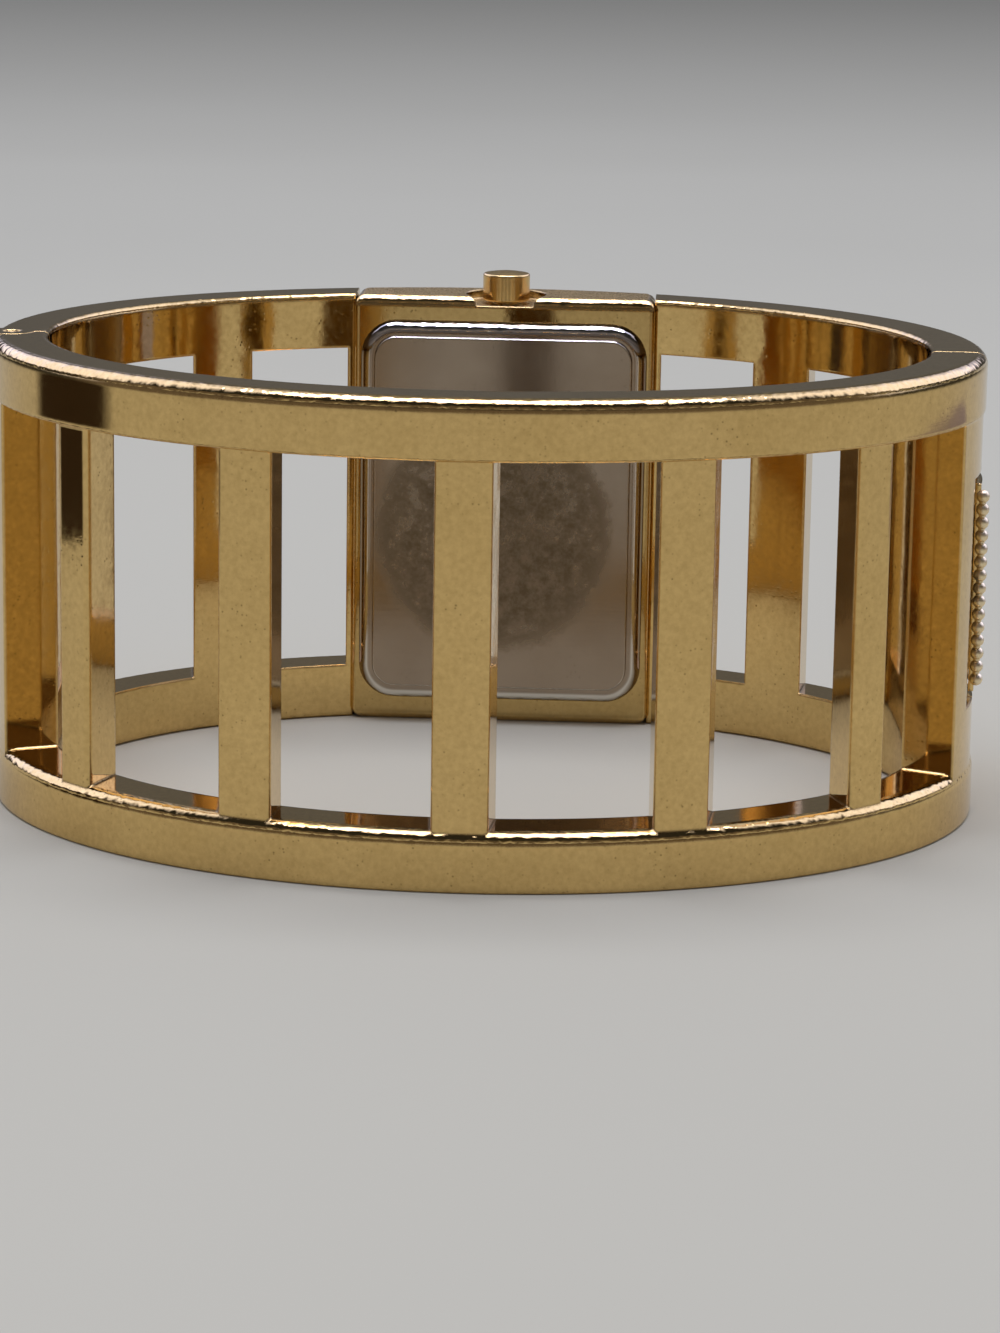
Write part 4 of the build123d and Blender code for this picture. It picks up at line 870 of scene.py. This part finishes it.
class Finishes:
    """All finishes of the watch, by name."""

    def __init__(self, effects: Effects) -> None:
        """Builds every material once.

        Args:
            effects: The shared node groups.
        """
        gold, deep = (0.76, 0.53, 0.215), (0.60, 0.40, 0.14)
        bright = (0.90, 0.76, 0.50)
        recipes = (
            MetalFinish(
                "worn_gold", gold, deep, 0.03, 0.08, pits=0.8, lines=0.08, edge_radius=0.28 * MM,
                lumps=6.0, mottle=0.4,
            ),
            MetalFinish(
                "case_gold", gold, deep, 0.03, 0.08, pits=0.8, lines=0.08, edge_radius=0.2 * MM,
                # The case's faces along Y get painted shade.
                lumps=6.0, mottle=0.4, top_grain=0.75, rear_painted_shade=0.35,
            ),
            # Painted light: the beads get a paler gold than the rest of the clasp, standing in for the light
            # they catch.
            MetalFinish(
                "bead_gold", bright, gold, 0.38, 0.50, lines=0.05, edge_radius=0.05 * MM, ripple=0.0
            ),
            MetalFinish(
                "bright_gold", gold, deep, 0.08, 0.16, lines=0.05, edge_radius=0.08 * MM, edge_colour=bright
            ),
            MetalFinish(
                "crown_gold", gold, deep, 0.20, 0.30, lines=0.04, edge_radius=0.06 * MM, edge_colour=bright
            ),
            StainedSteel(
                "back_steel", (0.345, 0.275, 0.205), (0.26, 0.20, 0.145), 0.10, 0.22, pits=0.4, lines=0.15,
                haze_scale=70.0, edge_radius=0.14 * MM, ripple=0.006 * MM, lumps=6.0,
            ),
            MetalFinish(
                "bright_steel", (0.62, 0.62, 0.62), (0.42, 0.42, 0.42), 0.12, 0.22, edge_radius=0.03 * MM
            ),
            MetalFinish(
                "drawn_steel", (0.56, 0.55, 0.53), (0.40, 0.38, 0.35), 0.2, 0.35, flow=Flow.UPRIGHT,
                edge_radius=0.04 * MM,
            ),
            MetalFinish(
                "gear_brass", (0.78, 0.58, 0.27), (0.60, 0.42, 0.18), 0.15, 0.28, flow=Flow.UPRIGHT,
                edge_radius=0.02 * MM,
            ),
            MetalFinish(
                "plate_nickel", (0.66, 0.62, 0.55), (0.50, 0.46, 0.40), 0.18, 0.3, flow=Flow.UPRIGHT,
                edge_radius=0.04 * MM,
            ),
            MetalFinish(
                "lamination_iron", (0.40, 0.40, 0.41), (0.28, 0.27, 0.27), 0.3, 0.45, edge_radius=0.03 * MM
            ),
            MetalFinish(
                "copper_winding", (0.72, 0.34, 0.18), (0.50, 0.20, 0.10), 0.22, 0.35, lines=1.4,
                flow=Flow.UPRIGHT, edge_radius=0.08 * MM,
            ),
            MetalFinish(
                "dial_champagne", (0.88, 0.79, 0.60), (0.80, 0.70, 0.52), 0.38, 0.48, lines=0.35,
                flow=Flow.UPRIGHT, edge_radius=0.04 * MM,
            ),
            MetalFinish(
                "hand_gold", (0.66, 0.42, 0.15), (0.50, 0.30, 0.10), 0.1, 0.18, edge_radius=0.03 * MM
            ),
            PlasticFinish("board_green", (0.02, 0.13, 0.05), (0.03, 0.17, 0.07), 0.3),
            PlasticFinish("chip_resin", (0.012, 0.012, 0.012), (0.03, 0.03, 0.03), 0.2),
            PlasticFinish("holder_white", (0.72, 0.72, 0.69), (0.64, 0.64, 0.60), 0.45),
            PlasticFinish("gasket_black", (0.015, 0.015, 0.015), (0.03, 0.03, 0.03), 0.55),
            PlasticFinish("gasket_clear", (0.70, 0.70, 0.66), (0.62, 0.62, 0.58), 0.35),
            PlasticFinish("track_print", (0.045, 0.030, 0.020), (0.065, 0.045, 0.030), 0.4),
            GlassFinish("crystal_glass"),
        )
        self.named = {recipe.name: recipe.material(effects) for recipe in recipes}

    def paint(self, node: str, finish: str) -> None:
        """Gives a CAD node its finish.

        Args:
            node: Name of the CAD node.
            finish: Name of the finish.
        """
        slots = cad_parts[node].data.materials
        slots.clear()
        slots.append(self.named[finish])
        log.info("%s is %s", node, finish)


@dataclass
class Bangle:
    """The openwork bangle, its hinge and its clasp."""

    finishes: Finishes
    looks: dict[str, str] = field(
        default_factory=lambda: {
            "back_half": "worn_gold",
            "left_arm": "worn_gold",
            "right_arm": "worn_gold",
            "clasp_lever": "worn_gold",
            "clasp_beads": "bead_gold",
            "hinge_pin": "drawn_steel",
            "clasp_pin": "drawn_steel",
            "catch_spring": "drawn_steel",
        }
    )

    def dress(self) -> None:
        """Gives each node its finish."""
        for node, finish in self.looks.items():
            self.finishes.paint(node, finish)


@dataclass
class WatchHead:
    """Case, crystal, back, crown, dial and movement."""

    finishes: Finishes
    looks: dict[str, str] = field(
        default_factory=lambda: {
            "case_body": "case_gold",
            "bezel": "bright_gold",
            "crystal": "crystal_glass",
            "crystal_gasket": "gasket_clear",
            "case_back": "back_steel",
            "case_back_gasket": "gasket_black",
            "crown": "crown_gold",
            "crown_gasket": "gasket_black",
            "crown_tube": "gear_brass",
            "crown_stem": "bright_steel",
            "clutch_wheel": "bright_steel",
            "setting_lever": "bright_steel",
            "yoke": "bright_steel",
            "dial": "dial_champagne",
            "hour_markers": "hand_gold",
            "hour_hand": "hand_gold",
            "minute_hand": "hand_gold",
            "centre_wheel": "gear_brass",
            "cannon_pinion": "bright_steel",
            "minute_wheel": "gear_brass",
            "hour_wheel": "gear_brass",
            "intermediate_wheel": "gear_brass",
            "rotor": "bright_steel",
            "stator": "lamination_iron",
            "coil_core": "lamination_iron",
            "coil": "copper_winding",
            "main_plate": "plate_nickel",
            "train_bridge": "plate_nickel",
            "movement_screws": "bright_steel",
            "battery": "bright_steel",
            "battery_strap": "drawn_steel",
            "quartz_can": "drawn_steel",
            "circuit_board": "board_green",
            "control_chip": "chip_resin",
            "movement_holder": "holder_white",
        }
    )

    def dress(self) -> None:
        """Gives each node its finish."""
        for node, finish in self.looks.items():
            self.finishes.paint(node, finish)


@dataclass
class DialDetail:
    """Printed minute track, and hands and hour bars with bevelled edges."""

    finishes: Finishes
    half_width: float = 6.98 * MM
    half_height: float = 11.78 * MM
    middle: float = 15.5 * MM
    minutes: int = 60
    tick_length: float = 0.26 * MM
    tick_width: float = 0.09 * MM
    hour_tick_width: float = 0.17 * MM
    print_height: float = 0.02 * MM
    edge: float = 0.045 * MM

    def build(self) -> None:
        """Makes the track, the hands and the hour bars."""
        self._track()
        self._bevelled("hour_markers", "bevelled_hour_bars", "front_half")
        self._bevelled("hour_hand", "bevelled_hour_hand", "hour")
        self._bevelled("minute_hand", "bevelled_minute_hand", "centre")

    def _track(self) -> None:
        """Prints a tick for each minute just inside the bezel."""
        shape = bmesh.new()
        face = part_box("hour_markers")[0].y
        for minute in range(self.minutes):
            angle = math.tau * minute / self.minutes
            reach = self._reach(angle) - self.tick_length / 2
            width = self.hour_tick_width if minute % 5 == 0 else self.tick_width
            tick = bmesh.ops.create_cube(shape, size=1.0)["verts"]
            bmesh.ops.scale(shape, vec=(self.tick_length, self.print_height, width), verts=tick)
            bmesh.ops.rotate(shape, verts=tick, matrix=Matrix.Rotation(-angle, 3, "Y"))
            spot = (reach * math.cos(angle), face, self.middle + reach * math.sin(angle))
            bmesh.ops.translate(shape, vec=spot, verts=tick)
        finished("minute_track", shape, self.finishes.named["track_print"], "front_half")

    def _reach(self, angle: float) -> float:
        """Distance from the dial's middle to the track's outer line.

        Args:
            angle: Direction in the dial's plane.

        Returns:
            The distance.
        """
        across, up = abs(math.cos(angle)), abs(math.sin(angle))
        return min(self.half_width / max(across, 1e-6), self.half_height / max(up, 1e-6))

    def _bevelled(self, node: str, name: str, body: str) -> None:
        """Replaces a flat-edged node with a copy whose front edges are bevelled.

        Args:
            node: Name of the CAD node.
            name: Name of the new piece.
            body: The body that it moves with.
        """
        shape = merged_copy(node)
        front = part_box(node)[1].y - 0.001 * MM
        edges = [
            edge for edge in shape.edges
            if all(vert.co.y > front for vert in edge.verts)
            and edge.is_manifold and edge.calc_face_angle(0.0) > math.radians(45.0)
        ]
        bmesh.ops.bevel(
            shape, geom=edges, offset=self.edge, offset_type="OFFSET", affect="EDGES", segments=2,
            profile=0.5, material=-1, clamp_overlap=True,
        )
        piece = finished(name, shape, self.finishes.named["hand_gold"], body)
        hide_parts(node)


def main() -> None:
    """Builds the camera, the studio and the watch, in that order."""
    bpy.context.scene.view_settings.view_transform = "Standard"
    PhotoCamera().place()
    Studio().build()
    finishes = Finishes(Effects())
    Bangle(finishes).dress()
    WatchHead(finishes).dress()
    DialDetail(finishes).build()


if __name__ == "__main__":
    main()
